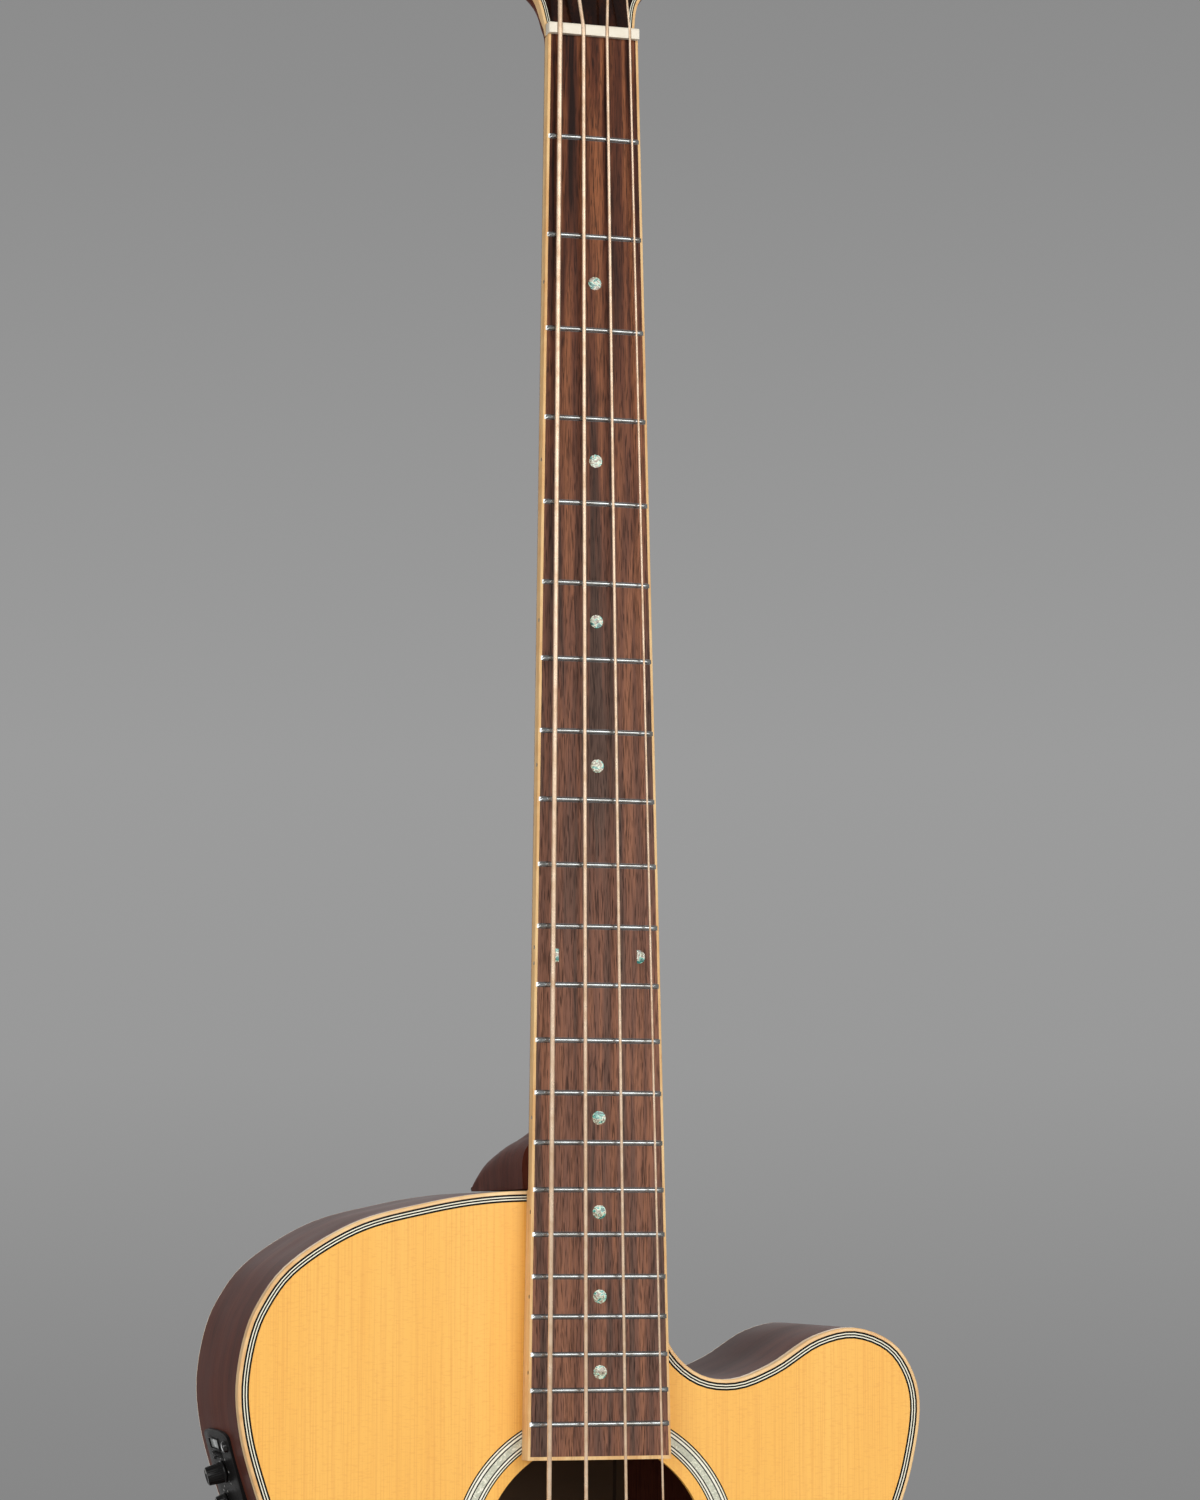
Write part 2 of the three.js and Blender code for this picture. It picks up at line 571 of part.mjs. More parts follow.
// Blocks that hold the neck and the tail.
function buildBlocks() {
  const inside = plate(inset(outline, RIM_INSIDE), [], INSIDE_TOP, DEEP_Y);
  const beneath = backLayer(BENEATH_BACK, BODY_DEPTH_AT_TAIL + OVERRUN);
  const neckBlock = cut(common(common(neckBlockBox(0), inside), beneath), tenonBox(SEAT_GAP));
  addPart(bassGuitar, 'neck_block', neckBlock, 'mahogany');
  const tailRoom = common(common(tailBlockBox(), inside), beneath);
  const tailBlock = cut(tailRoom, topLining(SEAT_GAP), backLining(SEAT_GAP), jackDrill());
  addPart(bassGuitar, 'tail_block', tailBlock, 'mahogany');
}

// A bar that lies flat against the soundboard, turned about its middle.
function topBar(z, length, width, turn) {
  const bar = box([-width / 2, INSIDE_TOP, -length / 2], [width / 2, INSIDE_TOP + BRACE.height, length / 2]);
  return bar.rotateY(turn).translate(BODY_CENTRE_X, 0, z);
}

function buildBracing() {
  const room = plate(innerEdge(LINING.width + BRACE.rimGap), [], INSIDE_TOP, DEEP_Y);
  const upperZ = JOINT_Z - CUTAWAY_SHARE * BODY_LENGTH - RIM_INSIDE - LINING.width - UPPER_BRACE.belowCutaway
    - UPPER_BRACE.width / 2;
  const upper = topBar(upperZ, BODY_REACH, UPPER_BRACE.width, Math.PI / 2);
  const aboveUpper = box(
    [-BODY_REACH, -BODY_REACH, upperZ - UPPER_BRACE.width / 2 - SEAT_GAP], [BODY_REACH, BODY_REACH, JOINT_Z]);
  const [falling, rising] = [X_BRACE_ANGLE, -X_BRACE_ANGLE].map(
    (turn) => topBar(JOINT_Z - X_BRACE.drop, BODY_REACH, BRACE.width, turn));
  addPart(bassGuitar, 'x_brace', cut(common(join(falling, rising), room), aboveUpper), 'bracing');
  addPart(bassGuitar, 'upper_brace', common(upper, room), 'bracing');

  const plateZ = JOINT_Z - BRIDGE_PLATE.drop;
  const beneath = INSIDE_TOP + BRIDGE_PLATE.thickness;
  const bridgePlate = box(
    [BODY_CENTRE_X - BRIDGE_PLATE.width / 2, INSIDE_TOP, plateZ - BRIDGE_PLATE.height / 2],
    [BODY_CENTRE_X + BRIDGE_PLATE.width / 2, beneath, plateZ + BRIDGE_PLATE.height / 2],
  );
  const holes = pinHoles(INSIDE_TOP - OVERRUN, beneath + OVERRUN);
  addPart(bassGuitar, 'bridge_plate', cut(bridgePlate, ...holes, ...stringSleeves(SEAT_GAP)), 'maple');
  const barTop = plateZ - BRIDGE_PLATE.height / 2 - TONE_BAR.belowPlate;
  const barFoot = TAIL_Z + RIM_INSIDE + TAIL_BLOCK.length + TONE_BAR.aboveTail;
  const barRise = barTop - barFoot - BRACE.width * Math.sin(TONE_BAR_ANGLE);
  addPart(bassGuitar, 'tone_bar', topBar(
    (barTop + barFoot) / 2, barRise / Math.cos(TONE_BAR_ANGLE), BRACE.width, TONE_BAR_ANGLE), 'bracing');

  const layer = backLayer(BENEATH_BACK, BENEATH_BACK + BRACE.height);
  BACK_BRACE_SHARES.forEach((share, i) => {
    const z = JOINT_Z - share * BODY_LENGTH;
    const [low, high] = [z - BRACE.width / 2, z + BRACE.width / 2];
    const bar = common(box([-BODY_REACH, INSIDE_TOP, low], [BODY_REACH, DEEP_Y, high]), layer);
    addPart(bassGuitar, `back_brace_${i + 1}`, common(bar, room), 'bracing');
  });
}

// Bridge with thinner wings, the saddle in its slot and the four pins.
function buildBridge() {
  const crown = new THREE.Vector3(0, -SADDLE.seatHeight, -SCALE_LENGTH);
  const onSaddle = crown.applyMatrix4(neckFrame.matrixWorld);
  const [halfWidth, halfFlat] = [BRIDGE.width / 2, BRIDGE.flatWidth / 2];
  const [top, wing] = [TOP_Y - BRIDGE.thickness, TOP_Y - BRIDGE.wingThickness];
  const profile = new THREE.Shape();
  profile.moveTo(BODY_CENTRE_X - halfWidth, -TOP_Y);
  profile.lineTo(BODY_CENTRE_X + halfWidth, -TOP_Y);
  profile.lineTo(BODY_CENTRE_X + halfWidth, -wing);
  const bend = (halfWidth + halfFlat) / 2;
  profile.bezierCurveTo(
    BODY_CENTRE_X + bend, -wing, BODY_CENTRE_X + bend, -top, BODY_CENTRE_X + halfFlat, -top);
  profile.lineTo(BODY_CENTRE_X - halfFlat, -top);
  profile.bezierCurveTo(
    BODY_CENTRE_X - bend, -top, BODY_CENTRE_X - bend, -wing, BODY_CENTRE_X - halfWidth, -wing);
  const upper = onSaddle.z + BRIDGE.aboveSaddle;
  const lower = upper - BRIDGE.height;
  const slab = new THREE.ExtrudeGeometry(
    profile, { depth: BRIDGE.height, bevelEnabled: false, curveSegments: BRIDGE.wingSteps });
  slab.rotateX(Math.PI);
  slab.translate(0, 0, upper);
  const face = new THREE.Shape();
  const corner = BRIDGE.cornerRadius;
  const [left, right] = [BODY_CENTRE_X - halfWidth, BODY_CENTRE_X + halfWidth];
  face.moveTo(left + corner, lower);
  face.lineTo(right - corner, lower);
  face.absarc(right - corner, lower + corner, corner, -Math.PI / 2, 0);
  face.lineTo(right, upper - corner);
  face.absarc(right - corner, upper - corner, corner, 0, Math.PI / 2);
  face.lineTo(left + corner, upper);
  face.absarc(left + corner, upper - corner, corner, Math.PI / 2, Math.PI);
  face.lineTo(left, lower + corner);
  face.absarc(left + corner, lower + corner, corner, Math.PI, 1.5 * Math.PI);
  const corners = face.extractPoints(BRIDGE.cornerSteps).shape;
  const footprint = plate(corners, [], top - OVERRUN, TOP_Y + OVERRUN);
  const saddleHalf = SADDLE.length / 2;
  const lean = Math.atan2(SADDLE.compensation, SADDLE.length);
  const slotFloor = top + SADDLE.slotDepth;
  const saddleBlock = (gap) => box(
    [-saddleHalf - gap, onSaddle.y - gap, -SADDLE.thickness / 2 - gap],
    [saddleHalf + gap, slotFloor + gap, SADDLE.thickness / 2 + gap],
  ).rotateY(lean).translate(BODY_CENTRE_X, 0, onSaddle.z);
  const sleeves = stringSleeves(SEAT_GAP);
  const holes = pinHoles(top - OVERRUN, TOP_Y + OVERRUN);
  const bridge = cut(common(slab, footprint), saddleBlock(SEAT_GAP), ...holes, ...sleeves);
  addPart(bassGuitar, 'bridge', bridge, 'rosewood');
  addPart(bassGuitar, 'saddle', cut(saddleBlock(0), ...stringSleeves(TRIM_GAP)), 'bone');

  const headTop = top - SEAT_GAP - PIN.headHeight;
  const [crownShare, crownDropShare] = PIN.crownShares;
  pinSpots.forEach((spot, i) => {
    const pin = turned([
      [0, headTop], [PIN.headRadius * crownShare, headTop + PIN.headHeight * crownDropShare],
      [PIN.headRadius, top - PIN.headHeight / 2], [PIN.headRadius * PIN.underHeadShare, top - SEAT_GAP],
      [PIN.shank, top - SEAT_GAP], [PIN.shank * PIN.tipShare, headTop + PIN.length],
      [0, headTop + PIN.length],
    ], PIN.sides).translate(spot.x, 0, spot.y);
    addPart(bassGuitar, `bridge_pin_${STRINGS[i].name}`, cut(pin, ...sleeves), 'bone');
  });
}

// The fretboard's flat underside, which follows the soundboard past the joint.
function boardUnderside(z) {
  if (z > -JOINT_DISTANCE) return BOARD.thickness;
  return (TOP_Y - SEAT_GAP - z * Math.sin(NECK_ANGLE)) / Math.cos(NECK_ANGLE);
}

// Fretboard rings: a round playing surface over the underside.
function boardRings(narrower, fromZ, toZ) {
  const stations = [fromZ, -JOINT_DISTANCE + SEAT_GAP, -JOINT_DISTANCE - SEAT_GAP, toZ];
  return stations.map((z) => {
    const half = boardHalfWidth(z) - narrower;
    const crown = Array.from({ length: BOARD.crownSteps + 1 }, (_, i) => {
      const x = -half + (2 * half * i) / BOARD.crownSteps;
      return new THREE.Vector3(x, crownDrop(x), z);
    });
    const floor = boardUnderside(z);
    return [...crown, new THREE.Vector3(half, floor, z), new THREE.Vector3(-half, floor, z)];
  });
}

// Section of a fret: shares of its half width and of its height.
const fretSectionShares = [[-1, 0], [-0.5, 1], [0.5, 1], [1, 0]];

// One fret: a bar across the board that follows its crown. Its tang is sunk in the board, and its ends
// lie over the binding, filed at a slant.
function fretBar(fret) {
  const z = -fretDistance(fret);
  const end = boardHalfWidth(z) - FRET.insetFromEdge;
  const core = boardHalfWidth(z) - BOARD.bindingWidth - TRIM_GAP;
  const rightStations = [
    { x: core - FRET.tangInset, sunk: FRET.tang, slant: 0 },
    { x: core - TRIM_GAP, sunk: -TRIM_GAP, slant: 0 }, { x: end, sunk: -TRIM_GAP, slant: FRET.bevel },
  ];
  const leftStations = rightStations.map(({ x, sunk, slant }) => ({ x: -x, sunk, slant: -slant }));
  const stations = [...leftStations.reverse(), { x: 0, sunk: FRET.tang, slant: 0 }, ...rightStations];
  return loft(stations.map(({ x, sunk, slant }) => {
    const surface = crownDrop(x);
    const half = FRET.width / 2;
    return fretSectionShares.map(([across, rise]) => new THREE.Vector3(
      x - slant * rise, surface + sunk * (1 - rise) - FRET.height * rise, z + half * across));
  }));
}

function buildFretboard() {
  const top = -SEAT_GAP / 2;
  const end = -BOARD_LENGTH + BOARD.endBinding;
  const core = loft(boardRings(BOARD.bindingWidth + TRIM_GAP, top, end + TRIM_GAP));
  const frets = Array.from({ length: FRET_COUNT }, (_, i) => fretBar(i + 1));
  addPart(neckFrame, 'fretboard', join(core, ...frets), 'rosewood');
  const outer = loft(boardRings(0, top, -BOARD_LENGTH));
  const hollow = loft(boardRings(BOARD.bindingWidth, top + OVERRUN, end).map((ring) => {
    const last = ring.length - 1;
    return ring.map((point, i) => point.clone().setY(point.y + (i >= last - 1 ? OVERRUN : -OVERRUN)));
  }));
  addPart(neckFrame, 'fretboard_binding', cut(outer, hollow), 'maple');
}

// Outline of the head in its own plane, one half from the nut to the top.
const headOutlineShares = [
  [0.483, 0], [0.545, 0.08], [0.69, 0.142], [0.87, 0.205], [0.975, 0.275], [1, 0.345],
  [0.94, 0.64], [0.92, 0.84], [0.86, 0.93], [0.68, 0.978], [0, 1],
];

function headOutline() {
  const half = HEAD_WIDTH / 2;
  const right = headOutlineShares.map(
    ([across, up]) => new THREE.Vector3(across * half, up * HEAD_LENGTH, 0));
  const curve = new THREE.CatmullRomCurve3(right, false, 'centripetal');
  const points = curve.getPoints((right.length - 1) * HEAD.steps);
  const foot = new THREE.Vector3(points[0].x, -2 * OVERRUN, 0);
  const side = [foot, ...points];
  const mirrored = side.slice(0, -1).reverse().map((point) => new THREE.Vector3(-point.x, point.y, 0));
  return [...side, ...mirrored].map((point) => new THREE.Vector2(point.x, point.y));
}

// Trims a shape of the head's outline, which runs on under the nut, at a height above the nut.
function trimmedAt(geometry, height) {
  return cut(geometry, box([-HEAD_WIDTH, -HEAD_WIDTH, -HEAD_LENGTH], [HEAD_WIDTH, HEAD_WIDTH, height]));
}

const tunerSpots = STRINGS.map((string) => new THREE.Vector2(string.postX, string.postAt));

function postHoles(radius, front, back) {
  return tunerSpots.map((spot) => disc(radius, front, back, spot.x, spot.y, BUSHING.sides));
}

const BUSHING_RADIUS = POST.radius + RUN_GAP + BUSHING.wall;
const HEAD_BACK = HEAD.veneer + SEAT_GAP + HEAD.thickness;

// One section of the neck's shaft or of its root in the head: a flat front and a back that is rounder
// the higher the power.
function neckSection(half, front, back, z, power) {
  return Array.from({ length: NECK.profileSteps + 1 }, (_, i) => {
    const turn = (Math.PI * i) / NECK.profileSteps;
    const across = Math.sign(Math.cos(turn)) * Math.abs(Math.cos(turn)) ** power;
    const depth = (back - front) * Math.max(0, Math.sin(turn)) ** power;
    return new THREE.Vector3(-half * across, front + depth, z);
  });
}

// Neck shaft: a flat top under the fretboard and a rounded back, squared off where it becomes the head.
function neckShaft() {
  const flat = BOARD.thickness + SEAT_GAP;
  const rootZ = NECK.root + NECK.rootInside;
  const root = neckSection(
    HEAD_WIDTH * NECK.rootShare, HEAD.veneer + SEAT_GAP, HEAD_BACK, rootZ, NECK.rootPower);
  const sections = [0, JOINT_DISTANCE / 2, JOINT_DISTANCE + OVERRUN].map((distance) => {
    const thicker = (NECK.backAtJoint - NECK.backAtNut) * Math.min(1, distance / JOINT_DISTANCE);
    const back = NECK.backAtNut + thicker;
    return neckSection(boardHalfWidth(-distance), flat, back, -distance, NECK.profilePower);
  });
  return loft([root.map((point) => point.applyMatrix4(headFrame.matrix)), ...sections]);
}

// Heel: sections in the X and Z directions that stand on the rim, from the neck down to the back.
const heelSectionShares = [[1, 0], [1, 0.48], [0.93, 0.67], [0.76, 0.82], [0.45, 0.95], [0, 1]];
// Rows of the heel from the front of the body to the back: the depth, the height of the flanks and how
// much higher the middle sweeps up under the neck.
const heelProfileShares = [
  [0.075, 0.54, 0.5], [0.19, 0.54, 0.46], [0.24, 0.54, 0.38], [0.3, 0.53, 0.26], [0.38, 0.52, 0.14],
  [0.52, 0.5, 0.04], [0.67, 0.44, 0], [0.82, 0.35, 0], [0.94, 0.2, 0], [1, 0.08, 0],
];
const heelMiddleShare = 0.85;

function heelBlock() {
  const depth = BODY_DEPTH_AT_NECK - HEEL.capThickness - SEAT_GAP;
  return loft(heelProfileShares.map(([down, rise, sweep]) => {
    const side = heelSectionShares.map(([across, up]) => {
      const middle = Math.max(0, up - heelMiddleShare) / (1 - heelMiddleShare);
      return [across * HEEL.halfWidth, (up * rise + middle * sweep) * HEEL.reach];
    });
    return mirrored(side).map(
      ([x, z]) => new THREE.Vector3(x, TOP_Y + down * depth, JOINT_Z + SEAT_GAP + z));
  }));
}

// Half a profile in the X and Z directions with its mirror image, as one closed outline.
function mirrored(side) {
  return [...side, ...side.slice(0, -1).reverse().map(([x, z]) => [-x, z])];
}

function buildNeck() {
  const head = headOutline();
  const holes = postHoles(BUSHING_RADIUS + SEAT_GAP, -OVERRUN, HEAD_BACK + OVERRUN);
  const blank = trimmedAt(plate(head, [], HEAD.veneer + SEAT_GAP, HEAD_BACK), NECK.root);
  const beyond = inset(head, -OVERRUN);
  const rabbet = plate(
    beyond, [inset(head, HEAD.bindingWidth + SEAT_GAP)], -OVERRUN, HEAD.bindingHeight + SEAT_GAP);
  const veneerRoom = plate(beyond, [], -2 * OVERRUN, HEAD.veneer + SEAT_GAP);
  const belowJoint = box(
    [-BODY_REACH, -BODY_REACH, -BODY_REACH - BODY_LENGTH], [BODY_REACH, BODY_REACH, JOINT_Z + SEAT_GAP]);
  const boardRoom = box(
    [-BOARD.endWidth, -OVERRUN, -BOARD_LENGTH], [BOARD.endWidth, BOARD.thickness + SEAT_GAP, NUT.length]);
  const channel = box(
    [-ROD.channelWidth / 2, 0, -JOINT_DISTANCE - TENON.depth - OVERRUN],
    [ROD.channelWidth / 2, BOARD.thickness + ROD.channelDepth, -ROD.fromNut]);
  const ground = cut(join(placed(neckShaft(), neckFrame), heelBlock()), belowJoint);
  const neck = join(ground, placed(cut(blank, ...holes), headFrame), tenonBox(0));
  addPart(bassGuitar, 'neck', cut(
    neck, placed(channel, neckFrame), placed(boardRoom, neckFrame),
    placed(trimmedAt(veneerRoom, 0), headFrame), placed(trimmedAt(rabbet, 0), headFrame)), 'mahogany');

  const [, capRise] = heelProfileShares[heelProfileShares.length - 1];
  const cap = mirrored(heelSectionShares).map(([across, up]) => new THREE.Vector2(
    across * HEEL.halfWidth, JOINT_Z + SEAT_GAP + up * capRise * HEEL.reach));
  const capFront = TOP_Y + BODY_DEPTH_AT_NECK - HEEL.capThickness;
  addPart(bassGuitar, 'heel_cap', plate(cap, [], capFront, capFront + HEEL.capThickness), 'ebony');
  const rodY = BOARD.thickness + ROD.channelDepth - ROD.diameter / 2 - SEAT_GAP;
  addPart(neckFrame, 'truss_rod', tube([
    new THREE.Vector3(0, rodY, -JOINT_DISTANCE + ROD.fromJoint),
    new THREE.Vector3(0, rodY, -ROD.fromNut - SEAT_GAP),
  ], ROD.diameter / 2, ROD.sides), 'nickel');

  const face = plate(inset(head, HEAD.bindingWidth + TRIM_GAP), [], 0, HEAD.veneer);
  addPart(headFrame, 'head_veneer', cut(trimmedAt(face, SEAT_GAP), ...holes), 'ebony');
  const edge = band(head, 0, HEAD.bindingWidth, 0, HEAD.bindingHeight);
  addPart(headFrame, 'head_binding', trimmedAt(edge, SEAT_GAP), 'maple');
  const [foot, peak, half] = [COVER.aboveNut, COVER.aboveNut + COVER.length, COVER.width / 2];
  const cover = mirrored([
    [half, foot], [half, (foot + peak) / 2], [half * COVER.topWidthShare, peak], [0, peak]]);
  addPart(headFrame, 'truss_rod_cover', plate(
    cover.map(([x, z]) => new THREE.Vector2(x, z)), [], -SEAT_GAP - COVER.thickness, -SEAT_GAP), 'black');
}

function buildNut() {
  const half = BOARD.nutWidth / 2;
  const gap = SEAT_GAP / 2;
  const section = new THREE.Shape();
  section.moveTo(gap, -BOARD.thickness);
  section.lineTo(NUT.length - gap, -BOARD.thickness);
  section.lineTo(NUT.length - gap, NUT.seatHeight);
  section.quadraticCurveTo(NUT.length - gap, NUT.height, NUT.length / 2, NUT.height);
  section.lineTo(gap, NUT.height);
  const block = new THREE.ExtrudeGeometry(
    section, { depth: BOARD.nutWidth, bevelEnabled: false, curveSegments: NUT.steps });
  block.applyMatrix4(new THREE.Matrix4().makeBasis(
    new THREE.Vector3(0, 0, 1), new THREE.Vector3(0, -1, 0), new THREE.Vector3(1, 0, 0)));
  block.translate(-half, 0, 0);
  const toNeck = neckFrame.matrixWorld.clone().invert();
  const slots = STRINGS.map((string) => {
    const { points } = stringRoute(string);
    const local = points.slice(5, 9).map((point) => point.clone().applyMatrix4(toNeck));
    return tube(local, string.diameter / 2 + TRIM_GAP, WINDING.sides);
  });
  addPart(neckFrame, 'nut', cut(block, ...slots), 'bone');
}

function buildStrings() {
  for (const string of STRINGS) {
    const { points, radii } = stringRoute(string);
    const name = `string_${string.name}`;
    addPart(bassGuitar, name, tube(points, radii, WINDING.sides), 'bronze');
    console.log(`${name}: least gap between turns ${leastWindingGap(string).toFixed(2)} mm`);
  }
}

// Tuner pieces are shaped for a post at the origin with its key to +X, then mirrored and moved.
const WHEEL_FRONT = HEAD_BACK + SEAT_GAP + PLATE.thickness + SEAT_GAP;
const WHEEL_MIDDLE = WHEEL_FRONT + WHEEL.thickness / 2;
const WORM_PITCH = (2 * Math.PI * (WHEEL.tip + WHEEL.root) / 2) / WHEEL.teeth;
const WORM_LENGTH = WORM_PITCH * WORM.turns;
const WORM_DROP = (WHEEL.tip + WHEEL.root) / 2 + WORM.pitchRadius;

function onHead(geometry, spot) {
  return geometry.clone().scale(Math.sign(spot.x), 1, 1).translate(spot.x, 0, spot.y);
}

// A tooth of the wheel: shares of the pitch across and of the tooth's height.
const toothShares = [[-0.34, 0], [0, 1], [0.34, 0]];

function wheelGeometry() {
  const lead = WORM_PITCH / (2 * Math.PI * WORM.pitchRadius);
  const twist = (WHEEL.thickness * lead) / (WHEEL.tip + WHEEL.root);
  const ring = (y, turn) => Array.from({ length: WHEEL.teeth }, (_, tooth) => (
    toothShares.map(([across, rise]) => {
      const angle = ((tooth + across) * 2 * Math.PI) / WHEEL.teeth + turn - Math.PI / 2;
      const radius = WHEEL.root + (WHEEL.tip - WHEEL.root) * rise;
      return new THREE.Vector3(radius * Math.cos(angle), y, radius * Math.sin(angle));
    }))).flat();
  return loft([ring(WHEEL_FRONT, -twist), ring(WHEEL_FRONT + WHEEL.thickness, twist)]);
}

// The worm: rings whose thread crest moves round by one turn for each pitch of length.
function wormGeometry() {
  const count = WORM.turns * WORM.pointsPerTurn;
  const rings = Array.from({ length: count + 1 }, (_, i) => {
    const x = -WORM_LENGTH / 2 + (WORM_LENGTH * i) / count;
    return Array.from({ length: WORM.pointsPerTurn }, (_, j) => {
      const angle = (2 * Math.PI * j) / WORM.pointsPerTurn;
      const phase = THREE.MathUtils.euclideanModulo(x / WORM_PITCH - j / WORM.pointsPerTurn + 0.5, 1);
      const fromCrest = Math.abs(2 * phase - 1);
      const rise = THREE.MathUtils.clamp((fromCrest - WORM.gapShare) / WORM.flankShare, 0, 1);
      const radius = WORM.root + (WORM.crest - WORM.root) * rise;
      return new THREE.Vector3(
        x, WHEEL_MIDDLE + radius * Math.sin(angle), -WORM_DROP + radius * Math.cos(angle));
    });
  });
  return loft(rings);
}

const EDGE_AT_TUNER = HEAD_WIDTH / 2 - LOWER_POSTS.across;

// A round bar on the axis of the key, between two distances from the post.
function keyBar(from, to, radius, sides) {
  const ends = [from, to].map((x) => new THREE.Vector3(x, WHEEL_MIDDLE, -WORM_DROP));
  return tube(ends, radius, sides);
}

function keyGeometry() {
  const start = -WORM_LENGTH / 2 - EAR.thickness - 2 * RUN_GAP;
  const paddleStart = EDGE_AT_TUNER + KEY.overEdge;
  const paddle = new THREE.SphereGeometry(1, ...KEY.paddleSides);
  paddle.scale(KEY.length / 2, KEY.thickness / 2, KEY.width / 2);
  paddle.translate(paddleStart + KEY.length / 2, WHEEL_MIDDLE, -WORM_DROP);
  const shaft = keyBar(start, paddleStart + KEY.neck, WORM.shaft, KEY.sides);
  const collar = keyBar(paddleStart - KEY.neck, paddleStart + KEY.neck, KEY.neck, KEY.sides);
  return join(wormGeometry(), shaft, paddle, collar);
}

// Base: the plate on the back of the head with the two ears that carry the key, and the bushing that
// comes through the head to its face.
function baseGeometry() {
  const front = HEAD_BACK + SEAT_GAP;
  const back = front + PLATE.thickness;
  const base = box([-PLATE.inner, front, -PLATE.below], [PLATE.outer, back, PLATE.above]);
  const earAt = WORM_LENGTH / 2 + RUN_GAP;
  const ears = [-earAt - EAR.thickness, earAt].map((x) => box(
    [x, back - TRIM_GAP, -WORM_DROP - EAR.width / 2],
    [x + EAR.thickness, back + EAR.height, -WORM_DROP + EAR.width / 2]));
  const flange = BUSHING_RADIUS + BUSHING.flange;
  const bushing = turned([
    [0, -SEAT_GAP - BUSHING.flangeHeight], [flange, -SEAT_GAP - BUSHING.flangeHeight], [flange, -SEAT_GAP],
    [BUSHING_RADIUS, -SEAT_GAP], [BUSHING_RADIUS, front + TRIM_GAP], [0, front + TRIM_GAP],
  ], BUSHING.sides);
  const keyBore = keyBar(-PLATE.inner - OVERRUN, PLATE.outer + OVERRUN, WORM.shaft + RUN_GAP, POST.sides);
  const wheelRoom = disc(WHEEL.tip + RUN_GAP, back, back + EAR.height + OVERRUN, 0, 0, POST.sides);
  const postRoom = disc(POST.radius + RUN_GAP, -POST.height, HEAD_BACK, 0, 0, POST.sides);
  const rearRoom = disc(POST.rearRadius + RUN_GAP, 0, back + OVERRUN, 0, 0, POST.sides);
  const wormReach = WORM.crest + RUN_GAP;
  const wormRoom = box(
    [-earAt, front - TRIM_GAP, -WORM_DROP - wormReach], [earAt, back + wormReach, -WORM_DROP + wormReach]);
  return cut(join(base, ...ears, bushing), keyBore, wheelRoom, postRoom, rearRoom, wormRoom);
}

// Post and wheel, which turn together.
function postGeometry() {
  const shoulder = HEAD_BACK - RUN_GAP;
  const rear = WHEEL_FRONT + WHEEL.thickness + WHEEL.end;
  const body = turned([
    [0, -POST.height], [POST.radius, -POST.height], [POST.radius, shoulder], [POST.rearRadius, shoulder],
    [POST.rearRadius, rear], [0, rear],
  ], POST.sides);
  const slot = box(
    [-POST.slotWidth / 2, -POST.height - OVERRUN, -POST.radius - OVERRUN],
    [POST.slotWidth / 2, -POST.height + POST.slotDepth, POST.radius + OVERRUN],
  );
  return join(cut(body, slot), wheelGeometry());
}

function buildTuners() {
  const shapes = { post: postGeometry(), key: keyGeometry(), base: baseGeometry() };
  for (const [kind, shape] of Object.entries(shapes)) {
    STRINGS.forEach((string, i) => {
      addPart(headFrame, `tuner_${kind}_${string.name}`, onHead(shape, tunerSpots[i]), 'nickel');
    });
  }
}

// Panel frame: its middle on the rim, -X out of the body, +Z up along the rim.
const panelFrame = new THREE.Group();
const [rimTop, rimBottom] = [PANEL.topShare, PANEL.bottomShare].map((down) => {
  const height = JOINT_Z - down * BODY_LENGTH;
  const index = outline.findIndex((point) => point.y < height);
  const [before, after] = [outline[index - 1], outline[index]];
  return before.clone().lerp(after, (before.y - height) / (before.y - after.y));
});
const RIM_LEAN = Math.atan2(rimBottom.x - rimTop.x, rimTop.y - rimBottom.y);
panelFrame.position.set((rimTop.x + rimBottom.x) / 2, PANEL.depth, (rimTop.y + rimBottom.y) / 2);
panelFrame.rotation.y = -RIM_LEAN;
bassGuitar.add(panelFrame);
bassGuitar.updateMatrixWorld(true);

// Height in the panel's frame of a place measured down from the panel's top.
function down(distance) {
  return PANEL.length / 2 - distance;
}

// The preamp's housing between two distances from the rim, with a gap around it.
function housingBox(outward, gap) {
  const [halfWidth, halfLength] = [PANEL.housingWidth / 2 + gap, PANEL.housingLength / 2 + gap];
  return placed(
    box([-outward, -halfWidth, -halfLength], [PANEL.housingDepth, halfWidth, halfLength]), panelFrame);
}

function panelOpening() {
  return housingBox(OVERRUN, SEAT_GAP);
}

// The panel's outline across and along the rim, with a round arch at its upper end.
function panelOutline() {
  const [half, bottom, shoulder] = [PANEL.width / 2, -PANEL.length / 2, PANEL.length / 2 - PANEL.arch];
  const arch = Array.from({ length: PANEL.archSteps + 1 }, (_, i) => {
    const turn = (Math.PI * i) / PANEL.archSteps;
    return new THREE.Vector2(half * Math.cos(turn), shoulder + PANEL.arch * Math.sin(turn));
  });
  return [new THREE.Vector2(-half, bottom), new THREE.Vector2(half, bottom), ...arch];
}

// A plate in the panel's frame, whose outline is across and along the rim, between two distances out.
function rimPlate(shapePoints, inward, outward) {
  const slab = new THREE.ExtrudeGeometry(
    new THREE.Shape(shapePoints), { depth: inward + outward, bevelEnabled: false });
  slab.applyMatrix4(new THREE.Matrix4().makeBasis(
    new THREE.Vector3(0, 1, 0), new THREE.Vector3(0, 0, 1), new THREE.Vector3(1, 0, 0)));
  return slab.translate(-outward, 0, 0);
}

